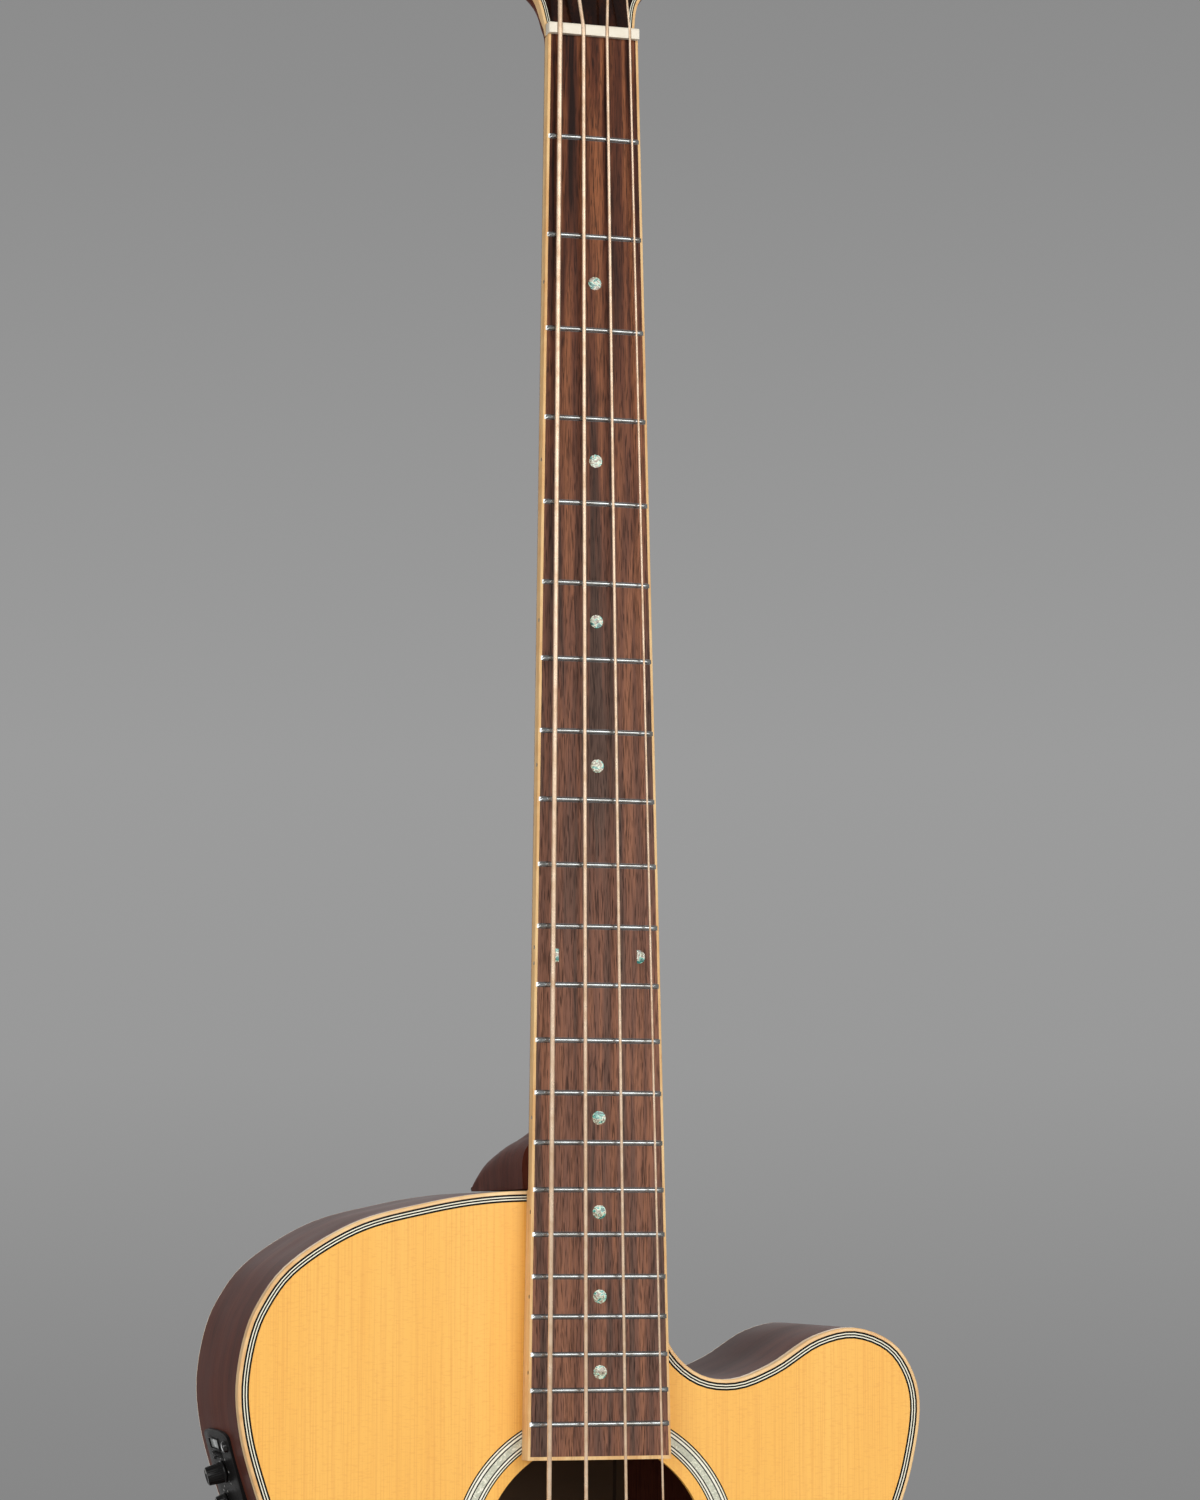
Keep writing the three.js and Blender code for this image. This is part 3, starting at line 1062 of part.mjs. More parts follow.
// A round solid in the panel's frame with its axis out of the rim, from pairs of radius and distance out.
function knobTurned(profile, across, at) {
  return turned(profile, KNOB_SIDES).rotateZ(Math.PI / 2).translate(0, across, down(at));
}

// A round hole through the panel's face, down to a distance out of the rim.
function rimRod(radius, to, across, at) {
  const from = PANEL.proud + OVERRUN;
  return knobTurned([[0, from], [radius, from], [radius, to], [0, to]], across, at);
}

const knobSpots = [
  { name: 'volume_knob', ...VOLUME }, { name: 'bass_knob', ...BASS }, { name: 'treble_knob', ...TREBLE },
];
const buttonSpots = [{ name: 'tuner_button', ...PITCH }, { name: 'phase_button', ...PHASE }];

// The battery, or the bay that holds it with a gap and reaches the door.
function batteryBox(gap, reach) {
  const inward = -PANEL.proud + DOOR.thickness + BATTERY.sink;
  return box(
    [inward - reach, -BATTERY.length / 2 - gap, down(DOOR.at) - BATTERY.width / 2 - gap],
    [inward + BATTERY.depth + gap, BATTERY.length / 2 + gap, down(DOOR.at) + BATTERY.width / 2 + gap],
  );
}

// A plate in the face of the panel, or its room with a gap around it that reaches out past the face.
function facePlate(part, width, thickness, gap, reach) {
  const across = part.across ?? 0;
  return box(
    [-PANEL.proud - reach, across - width / 2 - gap, down(part.at) - part.length / 2 - gap],
    [-PANEL.proud + thickness + gap, across + width / 2 + gap, down(part.at) + part.length / 2 + gap],
  );
}

function doorBox(gap, reach) {
  return facePlate(DOOR, DOOR.width, DOOR.thickness, gap, reach);
}

function displayBox(gap, reach) {
  return facePlate(DISPLAY, DISPLAY.width, DISPLAY.recess, gap, reach);
}

function buildPreamp() {
  const slab = rimPlate(panelOutline(), PANEL.flange, PANEL.proud);
  const doorHole = doorBox(RUN_GAP, OVERRUN);
  const displayRoom = displayBox(TRIM_GAP, OVERRUN);
  const shafts = knobSpots.map(({ across, at }) => rimRod(
    KNOB_SHAFT.radius + RUN_GAP, -KNOB_SHAFT.length - RUN_GAP, across, at));
  const stems = buttonSpots.map(({ across, at }) => rimRod(
    BUTTON.radius + RUN_GAP, -BUTTON.stem - BUTTON.travel - RUN_GAP, across, at));
  const bay = batteryBox(SEAT_GAP, BATTERY.sink + SEAT_GAP);
  const housing = housingBox(PANEL.proud / 2, 0);
  const flange = cut(placed(slab, panelFrame), plate(inset(outline, -SEAT_GAP), [], TOP_Y, DEEP_Y));
  const rooms = [doorHole, displayRoom, bay, ...shafts, ...stems].map((room) => placed(room, panelFrame));
  addPart(bassGuitar, 'preamp_housing', cut(join(flange, housing), ...rooms), 'black');
  addPart(panelFrame, 'preamp_display', displayBox(0, 0), 'screen');
  const seat = PANEL.proud + RUN_GAP;
  for (const { name, across, at, radius, height } of knobSpots) {
    addPart(panelFrame, name, knobTurned([
      [0, seat + height], [radius * KNOB_FACE_SHARE, seat + height],
      [radius, seat + height * KNOB_EDGE_SHARE], [radius, seat], [KNOB_SHAFT.radius, seat],
      [KNOB_SHAFT.radius, -KNOB_SHAFT.length], [0, -KNOB_SHAFT.length],
    ], across, at), 'black');
  }
  for (const { name, across, at } of buttonSpots) {
    addPart(panelFrame, name, knobTurned([
      [0, PANEL.proud + BUTTON.height], [BUTTON.radius * BUTTON.faceShare, PANEL.proud + BUTTON.height],
      [BUTTON.radius, PANEL.proud + BUTTON.height * BUTTON.edgeShare], [BUTTON.radius, -BUTTON.stem],
      [0, -BUTTON.stem],
    ], across, at), 'black');
  }
  addPart(panelFrame, 'battery_door', doorBox(0, 0), 'black');
  addPart(panelFrame, 'battery', batteryBox(0, 0), 'nickel');
}

// The jack's hole through the rim and the tail block, in the middle of the body's depth.
const JACK_Y = TOP_Y + BODY_DEPTH_AT_TAIL / 2;

function jackDrill() {
  return tube([
    new THREE.Vector3(BODY_CENTRE_X, JACK_Y, TAIL_Z - OVERRUN),
    new THREE.Vector3(BODY_CENTRE_X, JACK_Y, TAIL_Z + JACK.length + OVERRUN),
  ], JACK.barrel + SEAT_GAP, JACK.sides);
}

function buildJack() {
  const jack = turned([
    [JACK.bore, JACK.height], [JACK.rim, JACK.height], [JACK.rim, JACK.rimHeight],
    [JACK.waist, JACK.waistHeight],
    [JACK.waist, JACK.flangeHeight], [JACK.flange, JACK.flangeHeight], [JACK.flange, SEAT_GAP],
    [JACK.barrel, SEAT_GAP], [JACK.barrel, -JACK.length], [0, -JACK.length], [0, -JACK.boreDepth],
    [JACK.bore, -JACK.boreDepth], [JACK.bore, JACK.height],
  ], JACK.sides);
  jack.rotateX(-Math.PI / 2).translate(BODY_CENTRE_X, JACK_Y, TAIL_Z);
  addPart(bassGuitar, 'endpin_jack', jack, 'nickel');
}

buildShell();
buildBlocks();
buildBracing();
buildBridge();
buildNeck();
buildFretboard();
buildNut();
buildStrings();
buildTuners();
buildPreamp();
buildJack();

export default bassGuitar;
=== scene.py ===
"""Acoustic bass guitar: its looks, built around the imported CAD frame.

Sizes in the classes are millimetres in the frame of the CAD, with Z up the neck, X to the treble side
and Y from the strings to the back. A mesh is brought to metres when its piece is made.
"""

import logging
import math
from dataclasses import dataclass
from enum import Enum
from functools import lru_cache
from typing import Callable, Iterable, Optional, Sequence, Union

import bmesh
import bpy
from bmesh.types import BMEdge, BMesh, BMFace, BMVert
from mathutils import Matrix, Vector


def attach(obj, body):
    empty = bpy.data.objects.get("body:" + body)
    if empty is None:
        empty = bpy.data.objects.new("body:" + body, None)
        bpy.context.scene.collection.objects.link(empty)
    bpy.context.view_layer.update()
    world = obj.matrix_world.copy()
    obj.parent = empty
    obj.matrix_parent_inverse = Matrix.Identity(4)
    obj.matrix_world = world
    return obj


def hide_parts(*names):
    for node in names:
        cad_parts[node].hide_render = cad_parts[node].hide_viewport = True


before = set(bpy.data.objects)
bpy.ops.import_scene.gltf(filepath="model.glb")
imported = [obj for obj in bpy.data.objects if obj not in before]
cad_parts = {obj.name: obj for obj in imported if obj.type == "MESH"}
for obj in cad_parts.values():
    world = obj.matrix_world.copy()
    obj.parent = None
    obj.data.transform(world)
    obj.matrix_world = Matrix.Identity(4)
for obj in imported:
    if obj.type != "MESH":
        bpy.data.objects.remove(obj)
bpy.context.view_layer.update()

log = logging.getLogger("bass")
MM = 0.001
SAME_PLACE = 1e-4
Point = tuple[float, float]
Colour = tuple[float, float, float]
GUITAR = "guitar"


def linear(*shade: int) -> Colour:
    """A display colour of 0 to 255 as the linear colour that a shader takes."""
    shares = [channel / 255 for channel in shade]
    return tuple(share / 12.92 if share <= 0.04045 else ((share + 0.055) / 1.055) ** 2.4 for share in shares)


# Shader maths


class Value:
    """A number worked out by shader nodes, with Python's own operators."""

    def __init__(self, graph: "Graph", socket: bpy.types.NodeSocket) -> None:
        """Wraps a socket of a graph."""
        self.graph = graph
        self.socket = socket

    def _with(self, operation: str, *others: Union["Value", float]) -> "Value":
        """A Math node on this value and others."""
        return self.graph.maths(operation, self, *others)

    def __add__(self, other: Union["Value", float]) -> "Value":
        """Sum."""
        return self._with("ADD", other)

    def __sub__(self, other: Union["Value", float]) -> "Value":
        """Difference."""
        return self._with("SUBTRACT", other)

    def __rsub__(self, other: float) -> "Value":
        """Difference from a number."""
        return self.graph.maths("SUBTRACT", other, self)

    def __mul__(self, other: Union["Value", float]) -> "Value":
        """Product."""
        return self._with("MULTIPLY", other)

    def __truediv__(self, other: Union["Value", float]) -> "Value":
        """Quotient."""
        return self._with("DIVIDE", other)

    def __abs__(self) -> "Value":
        """Size without sign."""
        return self._with("ABSOLUTE")

    def above(self, edge: float, softness: float) -> "Value":
        """A mask that rises from 0 to 1 over a softness around an edge."""
        node = self.graph.node("ShaderNodeMapRange", {"clamp": True, "interpolation_type": "SMOOTHSTEP"}, {
            "Value": self, "From Min": edge - softness, "From Max": edge + softness})
        return Value(self.graph, node.outputs[0])

    def about(self, middle: float, width: float) -> "Value":
        """This share of 0 to 1, spread over a width round a middle."""
        return self * width + (middle - width / 2)

    def sine(self) -> "Value":
        """Sine."""
        return self._with("SINE")


def set_stops(ramp: bpy.types.ColorRamp, stops: Sequence[tuple[float, Colour]]) -> None:
    """Sets the stops of a colour ramp."""
    while len(ramp.elements) < len(stops):
        ramp.elements.new(1.0)
    for element, (at, colour) in zip(ramp.elements, stops):
        element.position = at
        element.color = (*colour, 1.0)


class Graph:
    """The node tree of one material, round a Principled shader."""

    def __init__(self, name: str) -> None:
        """Starts a material of that name."""
        self.material = bpy.data.materials.new(name)
        self.material.use_nodes = True
        self.tree = self.material.node_tree
        self.tree.nodes.clear()
        self.shader = self.node("ShaderNodeBsdfPrincipled")
        self.node("ShaderNodeOutputMaterial", {}, {"Surface": self.shader.outputs[0]})
        self.place = self.node("ShaderNodeTexCoord").outputs["Object"]

    def node(self, kind: str, settings: Optional[dict] = None,
             inputs: Optional[dict] = None) -> bpy.types.Node:
        """Adds one node.

        Args:
            kind: the node's type.
            settings: its properties, with a ramp's stops under "stops".
            inputs: values or links of its sockets, by name or number.
        Returns:
            The node.
        """
        node = self.tree.nodes.new(kind)
        for key, value in (settings or {}).items():
            if key == "stops":
                set_stops(node.color_ramp, value)
            else:
                setattr(node, key, value)
        for key, value in (inputs or {}).items():
            self.feed(node.inputs[key], value)
        return node

    def feed(self, socket: bpy.types.NodeSocket, value: object) -> None:
        """Links a value to a socket, or sets the socket's own value."""
        if isinstance(value, Value):
            self.tree.links.new(value.socket, socket)
        elif isinstance(value, bpy.types.NodeSocket):
            self.tree.links.new(value, socket)
        elif socket.type == "RGBA":
            socket.default_value = (*value, 1.0)
        else:
            socket.default_value = value

    def maths(self, operation: str, *values: Union[Value, float]) -> Value:
        """A Math node on up to three values."""
        node = self.node("ShaderNodeMath", {"operation": operation}, dict(enumerate(values)))
        return Value(self, node.outputs[0])

    def axes(self) -> tuple[Value, Value, Value]:
        """The object's X, Y and Z coordinates, in metres."""
        parts = self.node("ShaderNodeSeparateXYZ", {}, {0: self.place}).outputs
        return Value(self, parts[0]), Value(self, parts[1]), Value(self, parts[2])

    def vector(self, x: object, y: object, z: object) -> bpy.types.NodeSocket:
        """A vector from three values."""
        return self.node("ShaderNodeCombineXYZ", {}, {0: x, 1: y, 2: z}).outputs[0]

    def scaled(
            self, scale: Sequence[float], shift: float = 0.0,
            vector: Optional[bpy.types.NodeSocket] = None) -> bpy.types.NodeSocket:
        """The object's coordinates, or another vector, scaled along the axes and shifted."""
        inputs = {"Vector": vector or self.place, "Scale": scale, "Location": (shift, shift, shift)}
        return self.node("ShaderNodeMapping", {}, inputs).outputs[0]

    def noise(self, vector: bpy.types.NodeSocket, detail: float = 2.0, distortion: float = 0.0) -> Value:
        """Smooth noise of one wave per unit of the vector."""
        node = self.node("ShaderNodeTexNoise", {}, {
            "Vector": vector, "Scale": 1.0, "Detail": detail, "Distortion": distortion})
        return Value(self, node.outputs[0])

    def clouds(self, waves: float, detail: float) -> Value:
        """Noise of so many waves a metre, alike in all directions."""
        return self.noise(self.scaled((waves, waves, waves)), detail)

    def ramp(self, value: Value, stops: Sequence[tuple[float, Colour]]) -> bpy.types.NodeSocket:
        """A colour from a value, through the stops of a ramp."""
        return self.node("ShaderNodeValToRGB", {"stops": stops}, {0: value}).outputs[0]

    def mix(self, share: Union[Value, float], first: object, second: object) -> bpy.types.NodeSocket:
        """A colour between two, by a share."""
        return self.node("ShaderNodeMix", {"data_type": "RGBA"}, {0: share, 6: first, 7: second}).outputs[2]

    def bump(self, height: Value, millimetres: float, strength: float = 1.0) -> bpy.types.NodeSocket:
        """A normal that follows a height of so many millimetres."""
        return self.node("ShaderNodeBump", {}, {
            "Height": height, "Distance": millimetres * MM, "Strength": strength}).outputs[0]

    def finish(self, **sockets: object) -> bpy.types.Material:
        """Feeds the shader's sockets, named with underscores, and returns the material."""
        for name, value in sockets.items():
            self.feed(self.shader.inputs[name.replace("_", " ")], value)
        return self.material


# Finishes


class Grain(Enum):
    """Which way the grain of a wooden piece runs."""

    UP = "along Z"
    ROUND = "along the rim"
    BOOK = "along Z, mirrored about the middle"
    ACROSS = "along X"


class Finish:
    """A surface finish."""

    def material(self) -> bpy.types.Material:
        """The finish as a material, made once."""
        return made(self)

    def build(self) -> bpy.types.Material:
        """Builds the material."""
        raise NotImplementedError


@lru_cache(maxsize=None)
def made(finish: Finish) -> bpy.types.Material:
    """The one material of a finish."""
    return finish.build()


@dataclass(frozen=True)
class Wood(Finish):
    """Lacquered or bare wood.

    It has bands of colour, with fine lines and pores along the grain, and can grow paler lower down: a
    painted sheen.
    """

    name: str
    colours: tuple[Colour, ...]
    line: Colour
    grain: Grain = Grain.UP
    band: float = 14.0
    band_length: float = 320.0
    fine: float = 1.3
    fine_length: float = 60.0
    fine_share: float = 0.3
    pore_share: float = 0.0
    pore: float = 0.45
    figure_share: float = 0.0
    figure: float = 9.0
    fleck_share: float = 0.0
    distortion: float = 0.0
    spread: float = 0.22
    roughness: float = 0.35
    coat: float = 0.25
    shine: float = 0.5
    relief: float = 0.004
    middle: float = 1.2
    seed: float = 0.0
    # Painted sheen: a share of a pale, greyish colour mixed in lower down, in place of the gloss's
    # reflection.
    painted_sheen_share: float = 0.0
    pale: Colour = linear(181, 144, 127)
    painted_sheen_from: float = 0.22
    painted_sheen_over: float = 0.2
    pore_length: float = 9.0
    flame: float = 60.0
    fleck: float = 3.2
    fleck_length: float = 0.7

    def _along(self, graph: Graph, across: float, along: float, shift: float = 0.0) -> bpy.types.NodeSocket:
        """The noise's coordinates for waves of a size across and along the grain, in millimetres."""
        wide, long = 1 / (across * MM), 1 / (along * MM)
        vector = None
        if self.grain is Grain.BOOK:
            x, y, z = graph.axes()
            vector = graph.vector(abs(x - self.middle * MM), y, z)
        scale = {
            Grain.UP: (wide, wide, long), Grain.BOOK: (wide, long, long),
            Grain.ROUND: (long, wide, long), Grain.ACROSS: (long, wide, wide),
        }[self.grain]
        return graph.scaled(scale, shift + self.seed, vector)

    def build(self) -> bpy.types.Material:
        """Bands and a painted sheen lower down if asked, then lines, pores, figure and flecks on top."""
        graph = Graph(self.name)
        band = graph.noise(self._along(graph, self.band, self.band_length), 3.0, self.distortion)
        low, mid, high = self.colours
        colour = graph.ramp(band, [(0.5 - self.spread, low), (0.5, mid), (0.5 + self.spread, high)])
        # Painted sheen: lower down the colour turns towards the pale one, as the gloss's reflection would
        # make it look.
        if self.painted_sheen_share:
            below = (0 - graph.axes()[2]).above(self.painted_sheen_from, self.painted_sheen_over)
            colour = graph.mix(below * self.painted_sheen_share, colour, self.pale)
        fine = graph.noise(self._along(graph, self.fine, self.fine_length, 3.7), 2.0)
        colour = graph.mix(fine.above(0.58, 0.14) * self.fine_share, colour, self.line)
        height = fine
        if self.pore_share:
            pore = graph.noise(self._along(graph, self.pore, self.pore_length, 9.1), 1.0).above(0.62, 0.05)
            colour = graph.mix(pore * self.pore_share, colour, self.line)
            height = fine - pore
        if self.figure_share:
            flame = graph.noise(self._along(graph, self.flame, self.figure, 5.3), 2.0, 0.6).above(0.5, 0.2)
            colour = graph.mix(flame * self.figure_share, colour, high)
        if self.fleck_share:
            fleck = graph.noise(self._along(graph, self.fleck, self.fleck_length, 6.6), 2.0, 0.4)
            colour = graph.mix(fleck.above(0.6, 0.08) * self.fleck_share, colour, self.line)
        return graph.finish(
            Base_Color=colour, Roughness=graph.clouds(22, 3.0).about(self.roughness, 0.16),
            Coat_Weight=self.coat, Coat_Roughness=0.06, Specular_IOR_Level=self.shine,
            Normal=graph.bump(height, self.relief))


@dataclass(frozen=True)
class Metal(Finish):
    """Plated or bare metal, with faint wear."""

    name: str
    colour: Colour
    worn: Colour
    roughness: float = 0.26
    winding: float = 0.0
    scratch: float = 0.004
    metallic: float = 1.0
    winding_relief: float = 0.018

    def build(self) -> bpy.types.Material:
        """Wear clouds and fine scratches, or the turns of a wound string."""
        graph = Graph(self.name)
        cloud = graph.clouds(160, 4.0)
        if self.winding:
            height = (graph.axes()[2] * (2 * math.pi / (self.winding * MM))).sine()
            depth = self.winding_relief
        else:
            height, depth = graph.noise(graph.scaled((300, 2400, 2400)), 2.0), self.scratch
        return graph.finish(
            Base_Color=graph.mix(cloud.above(0.55, 0.2), self.colour, self.worn), Metallic=self.metallic,
            Roughness=cloud.about(self.roughness, 0.18), Normal=graph.bump(height, depth, 0.6))


@dataclass(frozen=True)
class Pearl(Finish):
    """Shell inlay: thin wavy layers that turn green, blue and pink, with dark lines between some of them."""

    name: str
    colours: tuple[Colour, ...]
    dark: Colour
    size: float = 5.0
    layers: float = 2.0
    dark_share: float = 0.8
    roughness: float = 0.16

    def build(self) -> bpy.types.Material:
        """Swirled layers of shell."""
        graph = Graph(self.name)
        step = 1 / (self.size * MM)
        swirl = graph.noise(graph.scaled((step, step, step * 1.4)), 3.0, 0.8)
        layer = (swirl * (self.layers * 2 * math.pi)).sine() * 0.5 + 0.5
        fine = graph.noise(graph.scaled((step * 3, step * 3, step * 3), 4.0), 2.0, 0.5)
        colour = graph.ramp(layer * 0.75 + fine * 0.25, list(zip((0.1, 0.38, 0.64, 0.9), self.colours)))
        seam = abs(graph.noise(graph.scaled((step * 1.3, step, step * 1.3), 7.0), 2.0, 1.2) - 0.5)
        dark = (1 - seam.above(0.022, 0.02)) * self.dark_share
        return graph.finish(
            Base_Color=graph.mix(dark, colour, self.dark), Roughness=fine.about(self.roughness, 0.12),
            Coat_Weight=0.4, Coat_Roughness=0.06, Normal=graph.bump(layer, 0.01, 0.4))


@dataclass(frozen=True)
class Plain(Finish):
    """Bone, moulded plastic, paper or bare sheet: one colour with clouds and a fine texture."""

    name: str
    colour: Colour
    cloud: Colour
    texture: float = 0.3
    relief: float = 0.01
    roughness: float = 0.45
    coat: float = 0.0
    cloud_share: float = 0.5
    shine: float = 0.5

    def build(self) -> bpy.types.Material:
        """Soft clouds of the second colour over the first."""
        graph = Graph(self.name)
        cloud = graph.clouds(240, 4.0).above(0.5, 0.25)
        texture = graph.clouds(1 / (self.texture * MM), 2.0)
        return graph.finish(
            Base_Color=graph.mix(cloud * self.cloud_share, self.colour, self.cloud),
            Roughness=texture.about(self.roughness, 0.14), Coat_Weight=self.coat, Coat_Roughness=0.05,
            Specular_IOR_Level=self.shine, Normal=graph.bump(texture, self.relief, 0.7))


@dataclass(frozen=True)
class Label(Finish):
    """A paper label with a plain printed border and nothing else on it."""

    name: str
    paper: Colour
    ink: Colour
    centre: tuple[float, float]
    half: tuple[float, float]
    inset: float = 5.0
    line: float = 0.8
    age: float = 0.72

    def build(self) -> bpy.types.Material:
        """Aged paper, with the border at an inset from its edges."""
        graph = Graph(self.name)
        x, _, z = graph.axes()
        rows = []
        for value, centre, half in zip((x, z), self.centre, self.half):
            rows.append((abs(value - centre * MM) / MM - half + self.inset) / self.line)
        border = 1 - abs(graph.maths("MAXIMUM", *rows)).above(1.0, 0.3)
        fibre = graph.noise(graph.scaled((2600, 2600, 900)), 2.0)
        aged = tuple(self.age * part for part in self.paper)
        paper = graph.mix(graph.clouds(45, 4.0) * 0.5, self.paper, aged)
        return graph.finish(
            Base_Color=graph.mix(border * 0.8, paper, self.ink), Roughness=fibre.about(0.83, 0.1),
            Normal=graph.bump(fibre, 0.02, 0.5))


def tones(*shades: Sequence[int]) -> tuple[Colour, ...]:
    """Display colours as linear ones."""
    return tuple(linear(*shade) for shade in shades)


SPRUCE = Wood(
    "spruce_top", tones((251, 188, 90), (253, 192, 95), (255, 196, 100)), linear(232, 158, 76), band=30.0,
    fine=0.55, fine_length=70.0, fine_share=0.42, fleck_share=0.26, roughness=0.36, coat=0.1, shine=0.25,
    relief=0.003)
MAHOGANY_TONES = tones((84, 41, 30), (98, 49, 36), (112, 59, 43))
MAHOGANY_LINE = linear(46, 24, 20)
MAHOGANY_SIDE = Wood(
    "mahogany_side", MAHOGANY_TONES, MAHOGANY_LINE, Grain.ROUND, 12.0, 220.0, 0.9, 30.0, 0.35, 0.5,
    roughness=0.45, coat=0.0, shine=0.03)
MAHOGANY_NECK = Wood(
    "mahogany_neck", MAHOGANY_TONES, MAHOGANY_LINE, Grain.UP, 9.0, 240.0, 0.8, 26.0, 0.35, 0.5,
    roughness=0.5, coat=0.0, shine=0.03)
MAHOGANY_BACK = Wood(
    "mahogany_back", MAHOGANY_TONES, MAHOGANY_LINE, Grain.BOOK, 16.0, 300.0, 0.9, 30.0, 0.35, 0.5,
    figure_share=0.15, roughness=0.38, coat=0.05, shine=0.15)
MAPLE = Wood(
    "maple_binding", tones((228, 176, 116), (244, 202, 144), (252, 220, 166)), linear(196, 136, 80),
    Grain.ROUND, 5.0, 60.0, 0.6, 12.0, 0.25, 0.2, figure_share=0.3, figure=7.0, roughness=0.4, coat=0.35,
    shine=0.06)
MAPLE_BOARD = Wood(
    "maple_board_binding", tones((216, 162, 104), (234, 190, 132), (246, 210, 154)), linear(190, 130, 76),
    Grain.UP, 5.0, 60.0, 0.6, 12.0, 0.25, 0.3, figure_share=0.3, figure=7.0, roughness=0.45, coat=0.0,
    shine=0.1)
# The board carries a painted sheen: it grows paler towards the body, in place of the gloss's reflection
# there.
ROSEWOOD = Wood(
    "rosewood_board", tones((36, 17, 10), (98, 53, 34), (142, 86, 54)), linear(26, 13, 9),
    Grain.UP, 4.8, 190.0, 0.5, 12.0, 0.6, 0.6, 0.5, distortion=0.45, spread=0.15, roughness=0.55, coat=0.0,
    shine=0.12, relief=0.02, seed=21.0, painted_sheen_share=0.24)
ROSEWOOD_BRIDGE = Wood(
    "rosewood_bridge", tones((50, 25, 17), (100, 56, 37), (150, 86, 52)), linear(30, 15, 12),
    Grain.ACROSS, 4.6, 160.0, 0.7, 16.0, 0.6, 0.8, distortion=0.5, spread=0.14, roughness=0.5, coat=0.0,
    shine=0.2, relief=0.02)
VENEER = Wood(
    "head_veneer", tones((24, 11, 8), (38, 18, 12), (72, 36, 20)), linear(13, 7, 5),
    Grain.UP, 5.0, 160.0, 0.7, 22.0, 0.4, 0.5, roughness=0.12, coat=0.4, shine=0.1, relief=0.001)
BRACING = Wood(
    "brace_spruce", tones((196, 158, 108), (212, 174, 122), (224, 188, 138)), linear(170, 128, 80),
    Grain.ROUND, 9.0, 120.0, 1.1, 50.0, 0.35, roughness=0.75, coat=0.0, relief=0.02)
PEARL_STRIP = Pearl(
    "rosette_pearl", tones((200, 202, 182), (232, 232, 210), (254, 252, 234), (236, 230, 206)),
    linear(170, 170, 152), 2.4, 1.6, 0.5)
ABALONE = Pearl(
    "abalone", tones((34, 92, 88), (92, 190, 172), (232, 240, 212), (150, 128, 108)), linear(58, 36, 26),
    3.0, 2.2, 0.9)
NICKEL = Metal("nickel", *tones((206, 206, 202), (180, 178, 172)), 0.22)
FRET_WIRE = Metal("fret_wire", *tones((178, 182, 182), (146, 144, 138)), 0.24, scratch=0.0003, metallic=0.9)
BRONZE = tones((240, 212, 182), (216, 180, 144))
BONE = Plain("bone", *tones((238, 229, 211), (226, 214, 190)), 0.5, 0.004, 0.34, 0.1, shine=0.2)
PURFLE_DARK = Plain("purfling_black", *tones((10, 9, 8), (16, 14, 13)), 0.4, 0.003, 0.5, shine=0.1)
PURFLE_PALE = Plain("purfling_white", *tones((250, 247, 226), (238, 232, 204)), 0.4, 0.003, 0.4, shine=0.3)
CREAM = Plain("rosette_cream", *tones((250, 248, 232), (240, 234, 208)), 1.2, 0.003, 0.35, 0.1, shine=0.3)
BLACK = Plain("black_plastic", *tones((22, 21, 21), (32, 30, 30)), 0.35, 0.05, 0.42, shine=0.04)
SATIN_BLACK = Plain(
    "satin_black_plastic", *tones((14, 13, 13), (20, 19, 19)), 0.5, 0.004, 0.3, 0.12, shine=0.2)
GLOSS_BLACK = Plain(
    "gloss_black_plastic", *tones((16, 15, 16), (22, 22, 24)), 0.5, 0.002, 0.2, 0.5, shine=0.3)
GLASS = Plain("display_glass", *tones((188, 192, 190), (176, 182, 182)), 2.0, 0.001, 0.3, 0.2, shine=0.3)
MARK = Plain("panel_mark", *tones((186, 186, 182), (170, 170, 168)), 0.4, 0.001, 0.6)
EBONY = Plain("ebony", *tones((28, 23, 22), (40, 32, 29)), 0.6, 0.006, 0.35, 0.2)
CELL = Plain("battery_case", *tones((52, 54, 58), (70, 72, 76)), 0.4, 0.004, 0.35, 0.2)
PAPER = Label("label_paper", *tones((112, 86, 62), (54, 36, 26)), (-4.0, -674.0), (48.0, 45.0))


# Mesh tools


def loop(mesh: BMesh, points: Sequence[Vector]) -> list[BMEdge]:
    """A closed ring of edges through points."""
    verts = [mesh.verts.new(point) for point in points]
    return [mesh.edges.new((a, verts[(i + 1) % len(verts)])) for i, a in enumerate(verts)]


def chain(mesh: BMesh, points: Sequence[Vector]) -> list[BMEdge]:
    """An open line of edges through points."""
    verts = [mesh.verts.new(point) for point in points]
    return [mesh.edges.new(pair) for pair in zip(verts, verts[1:])]


def fill(mesh: BMesh, edges: Sequence[BMEdge]) -> list[BMFace]:
    """Fills flat rings of edges, with inner rings left open."""
    geom = bmesh.ops.triangle_fill(mesh, edges=list(edges), use_beauty=True, use_dissolve=False)["geom"]
    return [face for face in geom if isinstance(face, BMFace)]


def extruded(mesh: BMesh, faces: Sequence[BMFace]) -> list[BMVert]:
    """Extrudes faces in place, and gives the new corners, which are then moved."""
    geom = bmesh.ops.extrude_face_region(mesh, geom=faces)["geom"]
    return [item for item in geom if isinstance(item, BMVert)]


def outwards(mesh: BMesh) -> BMesh:
    """A closed mesh with its faces turned outwards."""
    bmesh.ops.recalc_face_normals(mesh, faces=mesh.faces[:])
    return mesh


